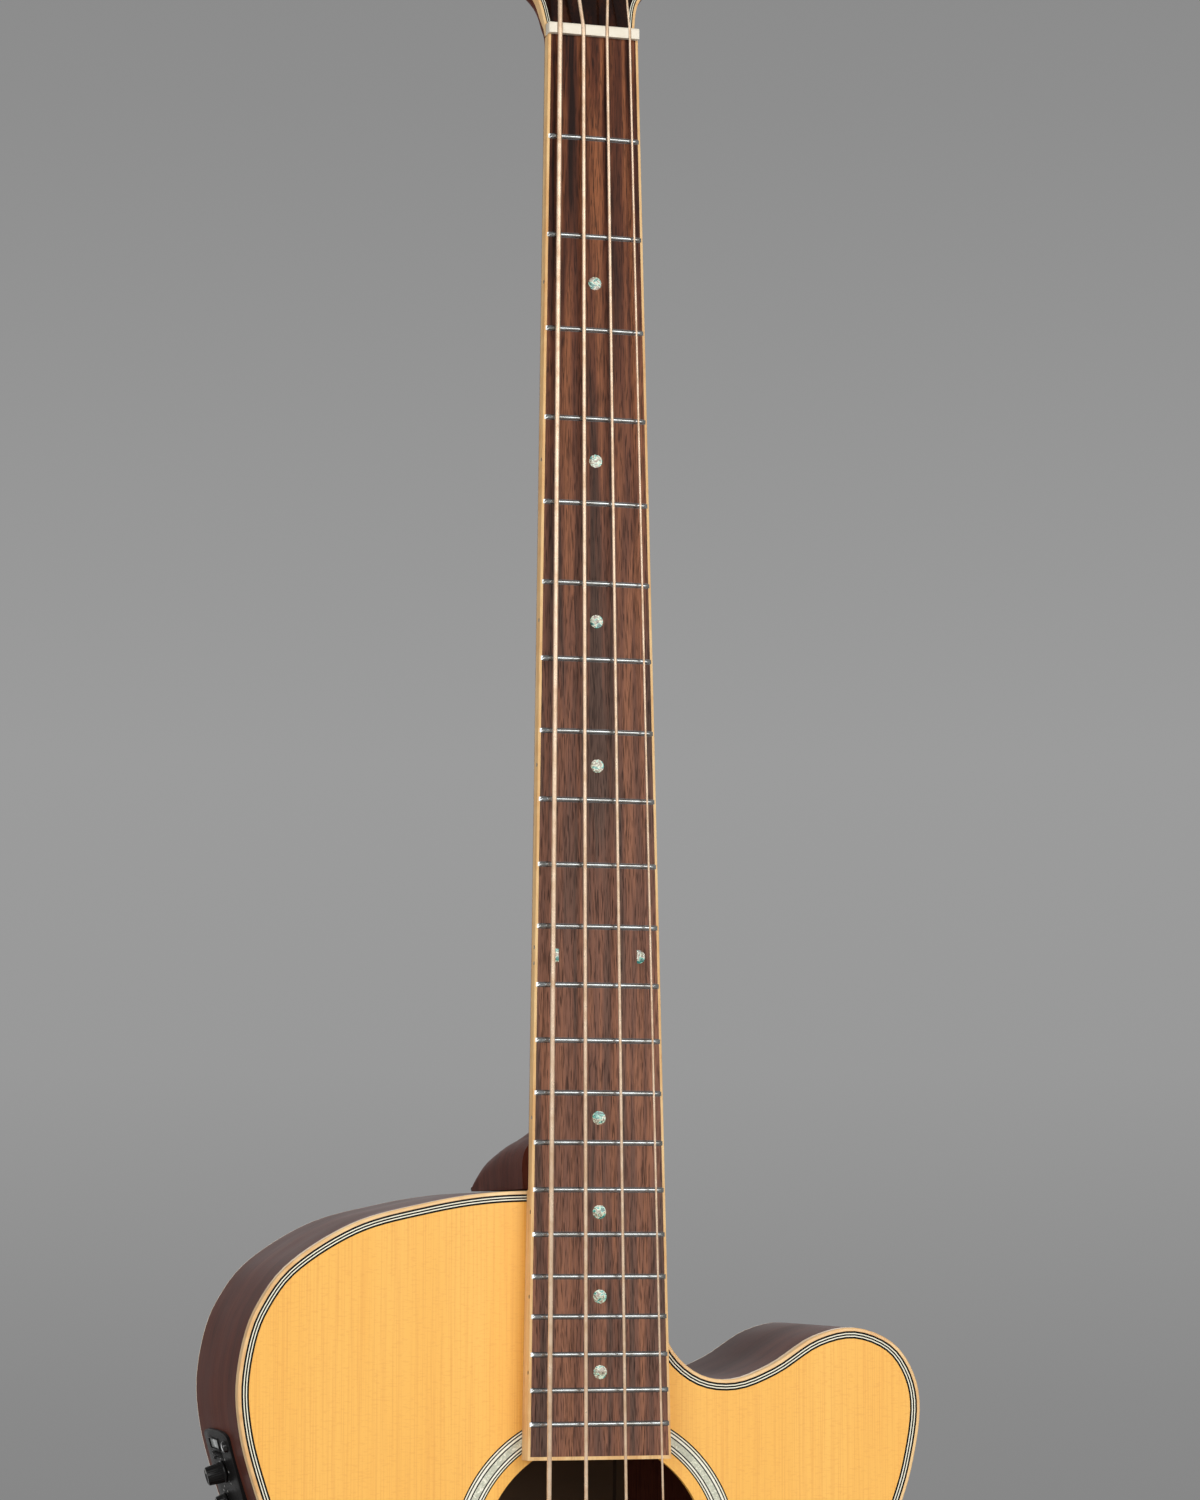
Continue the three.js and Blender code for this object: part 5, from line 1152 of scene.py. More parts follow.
@dataclass
class NeckWood:
    """The neck's shaft, heel and the wood of the head."""

    back_at_nut: float = 22.5
    under: float = 0.6
    back_at_joint: float = 25.5
    power: float = 0.85
    steps: int = 28
    heel_half: float = 30.0
    heel_reach: float = 52.0
    heel_cap: float = 2.4
    seat: float = 0.3
    shaft_steps: int = 18
    past_joint: float = 4.0
    flare_steps: int = 36
    flare_end: float = -12.0
    head_power: float = 0.12
    head_front: float = 4.0
    chin: tuple[float, float] = (16.25, -0.268)
    blend_from: float = 4.0
    blend_over: float = 13.0
    section: tuple[Point, ...] = ((1, 0), (1, 0.48), (0.93, 0.67), (0.76, 0.82), (0.45, 0.95), (0, 1))
    profile: tuple[tuple[float, float, float], ...] = (
        (0.075, 0.54, 0.5), (0.19, 0.54, 0.46), (0.24, 0.54, 0.38), (0.3, 0.53, 0.26), (0.38, 0.52, 0.14),
        (0.52, 0.5, 0.04), (0.67, 0.44, 0), (0.82, 0.35, 0), (0.94, 0.2, 0), (1, 0.08, 0))
    middle: float = 0.85

    def _section(self, half: float, front: float, back: float, z: float, power: float) -> list[Vector]:
        """One section: a flat front and a back that is rounder the higher the power."""
        ring = []
        for i in range(self.steps + 1):
            turn = math.pi * i / self.steps
            across = math.copysign(abs(math.cos(turn)) ** power, math.cos(turn))
            deep = max(0.0, math.sin(turn)) ** power
            ring.append(Vector((-half * across, front + (back - front) * deep, z)))
        return ring

    def build(self, board: Board, head: "Head") -> None:
        """Builds the shaft, the heel and its cap, and the wood of the head."""
        rings = self._flare(board, head)
        for i in range(1, self.shaft_steps + 1):
            distance = i / self.shaft_steps * (JOINT_DISTANCE + self.past_joint)
            thicker = (self.back_at_joint - self.back_at_nut) * min(1.0, distance / JOINT_DISTANCE)
            ring = self._section(
                board.half(-distance) - self.under, board.thickness + self.seat, self.back_at_nut + thicker,
                -distance, self.power)
            rings.append([NECK @ point for point in ring])
        for name, mesh in (("neck_shaft", loft(rings)), ("neck_heel", self._heel())):
            Piece(name, [MAHOGANY_NECK], "mahogany", ["neck"], GUITAR, 50.0).make(mesh)
        self._cap()

    def _flare(self, board: Board, head: "Head") -> list[list[Vector]]:
        """Sections in which the neck's round back turns into the flat head."""
        side = [(z, x) for x, z in head.outline() if x > 0 and z < 60]
        rings = []
        for i in range(self.flare_steps + 1):
            z = head.flare - i * (head.flare - self.flare_end) / self.flare_steps
            rounder = self._eased((head.flare - 3.0 - z) / (head.flare - 3.0))
            back = max(head.back - 0.02, self.chin[0] + self.chin[1] * z)
            half = height_along(side, z) - 0.03
            power = self.head_power + (self.power - self.head_power) * rounder
            section = self._section(half, self.head_front, back, z, power)
            along = HEAD_UP + z * math.cos(HEAD_LEAN)
            narrow = min(half, board.half(min(0.0, along)) - self.under)
            shaft = self._section(narrow, board.thickness + self.seat, self.back_at_nut, along, self.power)
            share = self._eased((self.blend_from - z) / self.blend_over)
            rings.append([(HEAD @ a).lerp(NECK @ b, share) for a, b in zip(section, shaft)])
        return rings

    def _eased(self, share: float) -> float:
        """A share held between 0 and 1, with soft ends."""
        share = min(1.0, max(0.0, share))
        return share * share * (3 - 2 * share)

    def _rounded(self, points: Sequence[Point], spacing: float) -> list[Point]:
        """A rounded line through points that are shares, with the spacing in hundredths."""
        return [(x / 100, z / 100) for x, z in smooth_line([(x * 100, z * 100) for x, z in points], spacing)]

    def _heel(self) -> BMesh:
        """The heel, from the neck down to its cap."""
        depth, foot = DEPTH_AT_NECK - self.heel_cap - self.seat, JOINT_Z + self.seat
        rises = self._rounded([(down, rise) for down, rise, _ in self.profile], 4.0)
        sweeps = self._rounded([(down, sweep) for down, _, sweep in self.profile], 4.0)
        section = self._rounded(self.section, 4.0)
        rings = []
        for down, rise in rises:
            sweep = height_along(sweeps, down)
            side = []
            for across, up in section:
                middle = max(0.0, up - self.middle) / (1 - self.middle)
                side.append((across * self.heel_half, (up * rise + middle * sweep) * self.heel_reach))
            rings.append([Vector((x, TOP_Y + down * depth, foot + z)) for x, z in mirrored(side)])
        return loft(rings)

    def _cap(self) -> None:
        """The thin cap on the heel."""
        rise = self.profile[-1][1] * self.heel_reach
        section = self._rounded(self.section, 6.0)
        side = [(x * self.heel_half, JOINT_Z + self.seat + z * rise) for x, z in section]
        front = TOP_Y + DEPTH_AT_NECK - self.heel_cap
        mesh = plate([mirrored(side)], front, front + self.heel_cap)
        soften(mesh, corners(mesh, 60.0), 0.4)
        Piece("ebony_heel_cap", [EBONY], "ebony", ["heel_cap"]).make(mesh)


def height_along(line: Sequence[Point], x: float) -> float:
    """The height of a line of points at a place along it."""
    for (left, low), (right, high) in zip(line, line[1:]):
        if x <= right:
            return low + (high - low) * (x - left) / max(right - left, 1e-9)
    return line[-1][1]


# Head and tuners


@dataclass
class Head:
    """The head: its wood, veneer, binding, lines and truss rod cover."""

    length: float = 184.0
    half_width: float = 43.5
    thickness: float = 13.0
    veneer: float = 2.0
    seat: float = 0.3
    binding: float = 1.25
    binding_height: float = 5.0
    lines: tuple[float, ...] = (1.25, 1.8, 2.12, 2.67, 2.99)
    flare: float = 42.0
    foot: float = -4.7
    foot_height: float = 1.9
    run_on: float = -8.0
    outline_shares: tuple[Point, ...] = (
        (0.483, 0), (0.545, 0.08), (0.69, 0.142), (0.87, 0.205), (0.975, 0.275), (1, 0.345),
        (0.94, 0.64), (0.92, 0.84), (0.86, 0.93), (0.68, 0.978), (0, 1))
    cover: tuple[Point, ...] = (
        (12, 18), (12, 23), (11.6, 36), (9.6, 47), (7.2, 55), (5.2, 61), (3.0, 63.6), (0, 64))
    cover_front: float = -2.3
    cover_back: float = -0.3
    cover_screws: tuple[float, ...] = (23.0, 58.0)
    screw: tuple[Point, ...] = ((0, 0.9), (0.9, 0.82), (1.5, 0.5), (1.7, 0), (1.7, -1), (0, -1))
    lower_posts: Point = (19.5, 57.0)
    upper_posts: Point = (20.5, 117.0)
    bushing_hole: float = 7.7
    wood_inset: float = 0.03
    line_depth: float = 1.2
    face_foot: float = 0.3

    @property
    def back(self) -> float:
        """Depth of the back of the head."""
        return self.veneer + self.seat + self.thickness

    def posts(self) -> dict[str, Point]:
        """Where each string's post stands on the head."""
        (low_x, low_z), (high_x, high_z) = self.lower_posts, self.upper_posts
        return {"e": (-low_x, low_z), "a": (-high_x, high_z), "d": (high_x, high_z), "g": (low_x, low_z)}

    def outline(self) -> list[Point]:
        """The outline of the head, run on down past the nut."""
        right = smooth_line([(x * self.half_width, z * self.length) for x, z in self.outline_shares], 3.0)
        return mirrored([(right[0][0], self.run_on), *right])

    def _trimmed(self, mesh: BMesh, height: float) -> BMesh:
        """Cuts a mesh off square below a height."""
        geom = [*mesh.verts, *mesh.edges, *mesh.faces]
        cut = bmesh.ops.bisect_plane(
            mesh, geom=geom, plane_co=(0, 0, height), plane_no=(0, 0, -1), clear_outer=True)["geom_cut"]
        bmesh.ops.contextual_create(mesh, geom=[item for item in cut if isinstance(item, BMEdge)])
        return outwards(mesh)

    def build(self) -> None:
        """Builds and dresses the head."""
        whole = self.outline()
        holes = [circle(x, z, self.bushing_hole, 48) for x, z in self.posts().values()]
        self._wood(whole, holes)
        self._binding(whole)
        bands = stripes([inset(whole, offset) for offset in self.lines], 0.0, self.line_depth)
        lines = together(self._trimmed(band, self.face_foot) for band in bands)
        Piece("head_lines", [PURFLE_DARK, PURFLE_PALE], "ebony").make(lines, HEAD)
        face = self._trimmed(plate([inset(whole, self.lines[-1]), *holes], 0.0, self.veneer), self.face_foot)
        Piece("veneer_face", [VENEER], "ebony", ["head_veneer"]).make(face, HEAD)
        self._cover()

    def _wood(self, whole: list[Point], holes: list[list[Point]]) -> None:
        """The mahogany behind the veneer, above the flare that the neck ends in."""
        blank = plate([inset(whole, self.wood_inset), *holes], self.veneer + 0.05, self.back)
        blank = self._trimmed(blank, self.flare - 2.0)
        rim = corners(blank, 60.0, lambda spot: spot.y > self.back - 0.01 and spot.z > self.flare - 1.8)
        soften(blank, rim, 0.8, 3)
        Piece("head_wood", [MAHOGANY_NECK], "mahogany", ["neck"]).make(blank, HEAD)

    def _binding(self, whole: list[Point]) -> None:
        """The maple at the edge, which grows thinner towards its foot at the nut."""
        ring = plate([whole, inset(whole, self.binding)], 0.0, self.binding_height, 0.4)
        binding = self._trimmed(ring, self.foot)
        for vert in binding.verts:
            share = (vert.co.z - self.foot) / (8.0 - self.foot)
            if share < 1 and vert.co.y > self.binding_height - 0.1:
                vert.co.y = self.foot_height + (self.binding_height - self.foot_height) * share
        Piece("head_edge_binding", [MAPLE], "maple", ["head_binding"]).make(binding, HEAD)

    def _cover(self) -> None:
        """The truss rod cover with its two screws."""
        mesh = plate([mirrored(self.cover)], self.cover_front, self.cover_back)
        soften(mesh, corners(mesh, 60.0, lambda spot: spot.y < self.cover_front + 0.1), 0.7, 3)
        Piece("rod_cover", [GLOSS_BLACK], "black", ["truss_rod_cover"]).make(mesh, HEAD)
        screws = []
        for z in self.cover_screws:
            cross = [block((-x, -y, 0.45), (x, y, 1.2)) for x, y in ((1.2, 0.16), (0.16, 1.2))]
            place = at_point(0, self.cover_front, z) @ TO_FRONT
            screws.append(moved(shaped(turned(self.screw, 24), cross), place))
        Piece("cover_screws", [NICKEL], "nickel").make(together(screws), HEAD)


@dataclass
class Tuners:
    """Four open-geared tuners: post and wheel, worm and key, plate and bushing."""

    post: float = 4.5
    height: float = 20.0
    rear: float = 3.0
    teeth: int = 20
    tip: float = 7.0
    valley: float = 5.5
    wheel: float = 4.0
    plate: float = 1.5
    gap: float = 0.3
    pitch_radius: float = 2.85
    worm_turns: int = 3
    key_length: float = 22.0
    key_width: float = 25.0
    key_thickness: float = 7.5
    over_edge: float = 6.0
    bore: float = 4.8
    tooth: tuple[Point, ...] = ((-0.34, 0.0), (-0.12, 0.9), (0.12, 0.9), (0.34, 0.0))
    worm: float = 2.3
    thread_middle: float = 2.55
    thread: float = 0.62
    thread_short: float = 0.7
    thread_steps: int = 20
    post_hole: float = 3.3
    ear: float = 2.0
    ear_half: float = 4.0
    ear_bore: float = 2.2
    sheet: tuple[float, float, float, float] = (-12.0, -16.0, 19.0, 11.0)
    screws: tuple[Point, ...] = ((-8.6, 7.6), (15.4, 7.6), (-8.6, -12.6), (15.4, -12.6))
    screw: tuple[Point, ...] = ((0, 0.7), (1.2, 0.55), (1.7, 0.0), (1.7, -0.4), (0, -0.4))

    def build(self, head: Head) -> None:
        """Builds the tuners, mirrored on the treble side."""
        self.back = head.back
        self.front_of_wheel = head.back + self.gap + self.plate + self.gap
        self.middle = self.front_of_wheel + self.wheel / 2
        self.worm_length = math.pi * (self.tip + self.valley) / self.teeth * self.worm_turns
        self.worm_z = -((self.tip + self.valley) / 2 + self.pitch_radius)
        self.edge = head.half_width - head.lower_posts[0]
        for name, (x, z) in head.posts().items():
            place = HEAD @ at_point(x, 0, z) @ Matrix.Diagonal((math.copysign(1.0, x), 1, 1, 1))
            for kind, mesh, smooth in (("post", self._post(), 32.0), ("key", self._key(), 40.0)):
                node = f"tuner_{kind}_{name}"
                Piece(f"{kind}_{name}", [NICKEL], "nickel", [node], node, smooth).make(mesh, place)
            Piece(f"base_{name}", [NICKEL], "nickel", [f"tuner_base_{name}"]).make(self._base(), place)
            Piece(f"plate_screws_{name}", [NICKEL], "nickel").make(self._screws(), place)

    def _post(self) -> BMesh:
        """The post with its slot, and the wheel behind the plate."""
        end = self.front_of_wheel + self.wheel + 1.5
        r, up, rear = self.post, self.height, self.rear
        body = moved(turned([
            (0, -up), (r - 0.8, -up), (r, -up + 0.8), (r, -up + 2.4), (r - 0.5, -up + 3.4), (r - 0.5, -4),
            (r, -3), (r, self.back - 0.3), (rear, self.back - 0.3), (rear, end - 0.5), (rear - 0.5, end),
            (0, end)], 48), TO_REAR)
        body = shaped(body, [block((-1.3, -up - 2, -8), (1.3, -up + 7, 8))])
        hub = turned([(0, end - 1.2), (1.9, end - 1.2), (1.9, end - 0.1), (1.5, end), (0, end)], 24)
        return together([body, self._wheel(), moved(hub, TO_REAR)])

    def _wheel(self) -> BMesh:
        """The toothed wheel that the worm turns."""
        wheel = bmesh.new()
        points = []
        for i in range(self.teeth):
            for across, rise in self.tooth:
                angle = (i + across) * 2 * math.pi / self.teeth - math.pi / 2
                radius = self.valley + (self.tip - self.valley) * rise
                x, z = radius * math.cos(angle), radius * math.sin(angle)
                points.append(Vector((x, self.front_of_wheel, z)))
        for vert in extruded(wheel, fill(wheel, loop(wheel, points))):
            vert.co.y += self.wheel
        return outwards(wheel)

    def _lying(self, mesh: BMesh) -> BMesh:
        """Turns a solid about Z onto the key's own axis."""
        return moved(mesh, at_point(0, self.middle, self.worm_z) @ TO_TREBLE)

    def _key(self) -> BMesh:
        """The worm on its shaft and the flat oval key."""
        start, half = -self.worm_length / 2 - 2.6, self.worm_length / 2
        paddle_at = self.edge + self.over_edge
        shaft = self._lying(turned([
            (0, start), (1.9, start), (1.9, paddle_at - 3.4), (2.4, paddle_at - 3.0), (2.8, paddle_at - 1.2),
            (2.4, paddle_at + 1.6), (2.0, paddle_at + 3), (0, paddle_at + 3)], 32))
        core = self._lying(rod(self.worm, -half, half, 28))
        count, reach = self.worm_turns * self.thread_steps, half - self.thread_short
        radius = self.thread_middle
        helix = []
        for i in range(count + 1):
            angle = 2 * math.pi * i / self.thread_steps
            y, z = self.middle + radius * math.sin(angle), self.worm_z + radius * math.cos(angle)
            helix.append(Vector((reach * (2 * i / count - 1), y, z)))
        return together([shaft, core, tube(helix, self.thread, 2), self._paddle(paddle_at)])

    def _paddle(self, start: float) -> BMesh:
        """The oval that the fingers hold, narrower towards its shaft."""
        paddle = bmesh.new()
        bmesh.ops.create_uvsphere(paddle, u_segments=40, v_segments=24, radius=1.0)
        for vert in paddle.verts:
            x, y, z = vert.co
            pinch = 1 - 0.16 * max(0.0, -x) ** 1.5
            vert.co = Vector((
                x * self.key_length / 2, math.copysign(abs(z) ** 1.15, z) * self.key_thickness / 2,
                math.copysign(abs(y) ** 0.9, y) * self.key_width / 2 * pinch))
        bmesh.ops.reverse_faces(paddle, faces=paddle.faces[:])
        return moved(paddle, at_point(start + self.key_length / 2, self.middle, self.worm_z))

    def _base(self) -> BMesh:
        """The plate with its two ears, and the bushing with its ring on the face of the head."""
        front, back, z = self.back + self.gap, self.back + self.gap + self.plate, self.worm_z
        left, low, right, high = self.sheet
        sheet = block((left, front, low), (right, back, high))
        bends = [edge for edge in sheet.edges if abs(edge.verts[0].co.y - edge.verts[1].co.y) > 1]
        soften(sheet, bends, 3.0, 5)
        ear_at = self.worm_length / 2 + self.gap
        holes = [moved(rod(self.post_hole, front - 2, back + 2, 40), TO_REAR),
                 block((-ear_at, front - 1, z - 3.7), (ear_at, back + 1, z + 3.7))]
        parts = [shaped(sheet, holes)]
        for x in (-ear_at - self.ear, ear_at):
            low, high = (x, back - 0.3, z - self.ear_half), (x + self.ear, back + 7, z + self.ear_half)
            parts.append(shaped(block(low, high, 0.7), [self._lying(rod(self.ear_bore, -30, 40, 28))]))
        inner = self.bore
        bushing = moved(turned([
            (inner, -1.9), (7.6, -1.9), (9.2, -1.1), (9.2, -0.3), (7.4, -0.3), (7.4, front), (inner, front),
            (inner, -1.9)], 48), TO_REAR)
        return together([*parts, bushing])

    def _screws(self) -> BMesh:
        """Four small screws that hold the plate."""
        back = self.back + self.gap + self.plate
        heads = []
        for x, z in self.screws:
            head = shaped(turned(self.screw, 20), [block((-1.2, -0.18, 0.25), (1.2, 0.18, 1))])
            heads.append(moved(head, at_point(x, back, z) @ TO_REAR))
        return together(heads)


# Nut, strings and bridge


@dataclass
class Strings:
    """The four wound strings with their turns round the posts, and the nut."""

    diameters: tuple[float, ...] = (2.4, 1.9, 1.5, 1.1)
    at_nut: tuple[float, ...] = (-16.3, -5.3, 5.8, 16.5)
    at_saddle: tuple[float, ...] = (-27.6, -9.4, 10.6, 29.0)
    windings: tuple[float, ...] = (0.62, 0.52, 0.44, 0.36)
    nut_seat: float = 1.1
    saddle_seat: float = 7.5
    seat: float = 0.3
    rest: float = 0.15
    drawn: float = 0.87
    behind_saddle: float = 20.0
    string_offset: float = 3.4
    bridge_top: float = 14.5
    turns: float = 1.5
    spare: float = 0.5
    entry: float = 15.0
    post: float = 4.5
    coil_steps: int = 24
    past_nut: float = 2.5
    ball: float = 6.0
    nut_low: tuple[float, float, float] = (-21.4, -2.1, -0.7)
    nut_high: tuple[float, float, float] = (21.0, 4.0, 4.5)
    slot_gap: float = 0.1
    foot_half: float = 19.7
    slip: float = 1.3

    def route(self, i: int, posts: dict[str, Point]) -> tuple[list[Vector], float]:
        """A string's line and its radius.

        Args:
            i: the string's number, from the bass side.
            posts: where the posts stand.
        Returns:
            The line, from the ball in the bridge plate to the last turn, and the radius.
        """
        r = self.diameters[i] / 2 * self.drawn
        post_x, post_z = posts[STRING_NAMES[i]]
        side = math.copysign(1.0, post_x)
        x = self.at_saddle[i]
        on_saddle = NECK @ Vector((x, -(self.saddle_seat + self.rest + r), -SCALE_LENGTH))
        nut_y = -(self.nut_seat + self.rest + r)
        on_nut = [NECK @ Vector((self.at_nut[i], nut_y, z)) for z in (0.0, self.past_nut)]
        pin_z = on_saddle.z - self.behind_saddle + self.string_offset
        top = TOP_Y - self.bridge_top
        path = [Vector((x, self.ball, pin_z)), Vector((x, top + 1, pin_z)),
                Vector((x, top - 0.3 * r, pin_z + 0.2 * r)), Vector((x, top - r, pin_z + r))]
        path += [path[-1].lerp(on_saddle, share) for share in (0.5, 0.92)]
        path += [on_saddle, *on_nut]
        coil = self.post + self.seat + r
        run = Vector((post_x - self.at_nut[i], post_z - self.past_nut + HEAD_UP))
        lean = math.atan2(run.x * side, run.y) - math.asin(coil / run.length)
        pitch = 2 * r + self.spare
        for j in range(int(self.turns * self.coil_steps) + 1):
            turn = -lean + 2 * math.pi * j / self.coil_steps
            path.append(HEAD @ Vector((
                post_x - side * coil * math.cos(turn), -self.entry + pitch * j / self.coil_steps,
                post_z + coil * math.sin(turn))))
        return path, r

    def build(self, posts: dict[str, Point]) -> None:
        """Builds the strings and the nut."""
        for i, name in enumerate(STRING_NAMES):
            wire = Metal(f"bronze_{name}", *BRONZE, 0.3, self.windings[i], metallic=0.35)
            mesh = tube(*self.route(i, posts), 4)
            Piece(f"wound_string_{name}", [wire], "bronze", [f"string_{name}"], GUITAR, 50.0).make(mesh)
        self._nut()

    def _nut(self) -> None:
        """The bone nut with a round slot for each string, on a narrower foot between two slips of binding."""
        mesh = block(self.nut_low, self.nut_high)
        soften(mesh, corners(mesh, 60.0, lambda spot: spot.y < 0 and spot.z > 4), 1.1, 5)
        soften(mesh, corners(mesh, 60.0, lambda spot: spot.x < -21 and spot.y < 0), 0.7, 4)
        soften(mesh, corners(mesh, 60.0), 0.2, 2)
        slots = []
        for x, size in zip(self.at_nut, self.diameters):
            half = size / 2 + self.slot_gap
            place = at_point(x, -(self.nut_seat + self.rest + size / 2), 0)
            open_top = block((-half, -4, -8), (half, 0, 12))
            slots += [moved(rod(half, -8, 12, 24), place), moved(open_top, place)]
        foot = block((-self.foot_half, 3.9, 0.15), (self.foot_half, 7.0, 4.85))
        Piece("bone_nut", [BONE], "bone", ["nut"]).make(together([shaped(mesh, slots), foot]), NECK)
        lows = (-self.foot_half - self.slip, self.foot_half)
        slips = [block((low, 4.0, -0.1), (low + self.slip, 7.5, 5.6)) for low in lows]
        Piece("nut_slips", [MAPLE_BOARD], "maple").make(together(slips), NECK)


@dataclass
class Bridge:
    """The rosewood bridge with thinner wings, the saddle and the bridge pins."""

    centre: float = MIDDLE_X
    half: float = 88.0
    flat: float = 52.0
    height: float = 40.0
    thickness: float = 14.5
    wing: float = 4.5
    above_saddle: float = 11.0
    corner: float = 9.0
    saddle_length: float = 78.0
    saddle: float = 3.2
    compensation: float = 2.2
    crest: float = 7.5
    slot_gap: float = 0.1
    saddle_depth: float = 6.5
    pin_bore: float = 3.0
    pin_up: float = 3.3
    pin_length: float = 23.0
    crown_steps: int = 16

    def build(self, strings: Strings) -> None:
        """Builds the bridge, saddle and pins."""
        on_saddle = NECK @ Vector((0, -self.crest, -SCALE_LENGTH))
        top = TOP_Y - self.thickness
        turn = math.atan2(self.compensation, self.saddle_length)
        lean = at_point(self.centre, 0, on_saddle.z) @ Matrix.Rotation(turn, 4, "Y")
        half, thick, deep = self.saddle_length / 2, self.saddle / 2, top + self.saddle_depth
        gap = self.slot_gap
        slot = moved(block((-half - gap, top - 3, -thick - gap), (half + gap, deep, thick + gap)), lean)
        pins = [(x, on_saddle.z - strings.behind_saddle) for x in strings.at_saddle]
        holes = [moved(rod(self.pin_bore, -6, 30, 28), at_point(x, top, z) @ TO_REAR) for x, z in pins]
        mesh = shaped(self._block(on_saddle.z + self.above_saddle, top), [slot, *holes])
        Piece("rosewood_bridge", [ROSEWOOD_BRIDGE], "rosewood", ["bridge"], GUITAR, 40.0).make(mesh)
        saddle = block((-half, on_saddle.y, -thick), (half, deep, thick))
        soften(saddle, corners(saddle, 60.0, lambda spot: spot.y < on_saddle.y + 0.1), 1.1, 4)
        Piece("bone_saddle", [BONE], "bone", ["saddle"]).make(moved(saddle, lean))
        for name, (x, z) in zip(STRING_NAMES, pins):
            self._pin(name, at_point(x, 0, z) @ TO_REAR, top)

    def _block(self, upper: float, top: float) -> BMesh:
        """The bridge's rounded body, thick in the middle and thin at the wings."""
        bend = (self.half + self.flat) / 2
        wing = TOP_Y - self.wing
        lines = (self.half, bend, bend, self.flat), (wing, wing, top, top)
        right = [(self.half, TOP_Y)]
        for i in range(self.crown_steps + 1):
            t = i / self.crown_steps
            weights = ((1 - t) ** 3, 3 * (1 - t) ** 2 * t, 3 * (1 - t) * t * t, t**3)
            x, y = (sum(weight * value for weight, value in zip(weights, line)) for line in lines)
            right.append((x, y))
        mesh = bmesh.new()
        ring = loop(mesh, [Vector((self.centre + x, y, upper)) for x, y in mirrored(right, 0)])
        for vert in extruded(mesh, bmesh.ops.contextual_create(mesh, geom=ring)["faces"]):
            vert.co.z -= self.height
        outwards(mesh)
        ends = []
        for edge in mesh.edges:
            start, run = edge.verts[0].co, edge.verts[0].co - edge.verts[1].co
            if abs(run.y) > 3 and abs(start.x - self.centre) > self.half - 1 and abs(run.z) < 1:
                ends.append(edge)
        soften(mesh, ends, self.corner, 6)
        soften(mesh, corners(mesh, 40.0, lambda spot: spot.y < TOP_Y - 1), 1.3, 3)
        return mesh

    def _pin(self, name: str, place: Matrix, top: float) -> None:
        """A bridge pin with a round head and a dark dot."""
        head = top - self.pin_up
        end = head + self.pin_length
        pin = turned([
            (0, head), (1.6, head + 0.08), (2.9, head + 0.45), (3.8, head + 1.1), (4.1, top - 1.4),
            (3.9, top - 0.8), (3.3, top - 0.3), (2.5, top - 0.3), (2.0, end), (0, end)], 36)
        Piece(f"pin_{name}", [BONE], "bone", [f"bridge_pin_{name}"], GUITAR, 50.0).make(pin, place)
        dot = turned([(0, head), (1.1, head), (1.2, head + 0.12), (1.2, head + 0.6), (0, head + 0.6)], 24)
        Piece(f"pin_dot_{name}", [EBONY], "ebony").make(dot, place)


# Preamp and jack

PANEL_MIDDLE = (-142.0545, 62.0, -668.2496)
PANEL_LEAN = math.atan2(0.268666, 0.963233)
PANEL = Matrix.Translation(PANEL_MIDDLE) @ Matrix.Rotation(-PANEL_LEAN, 4, "Y")
Place = tuple[float, float, float, float]


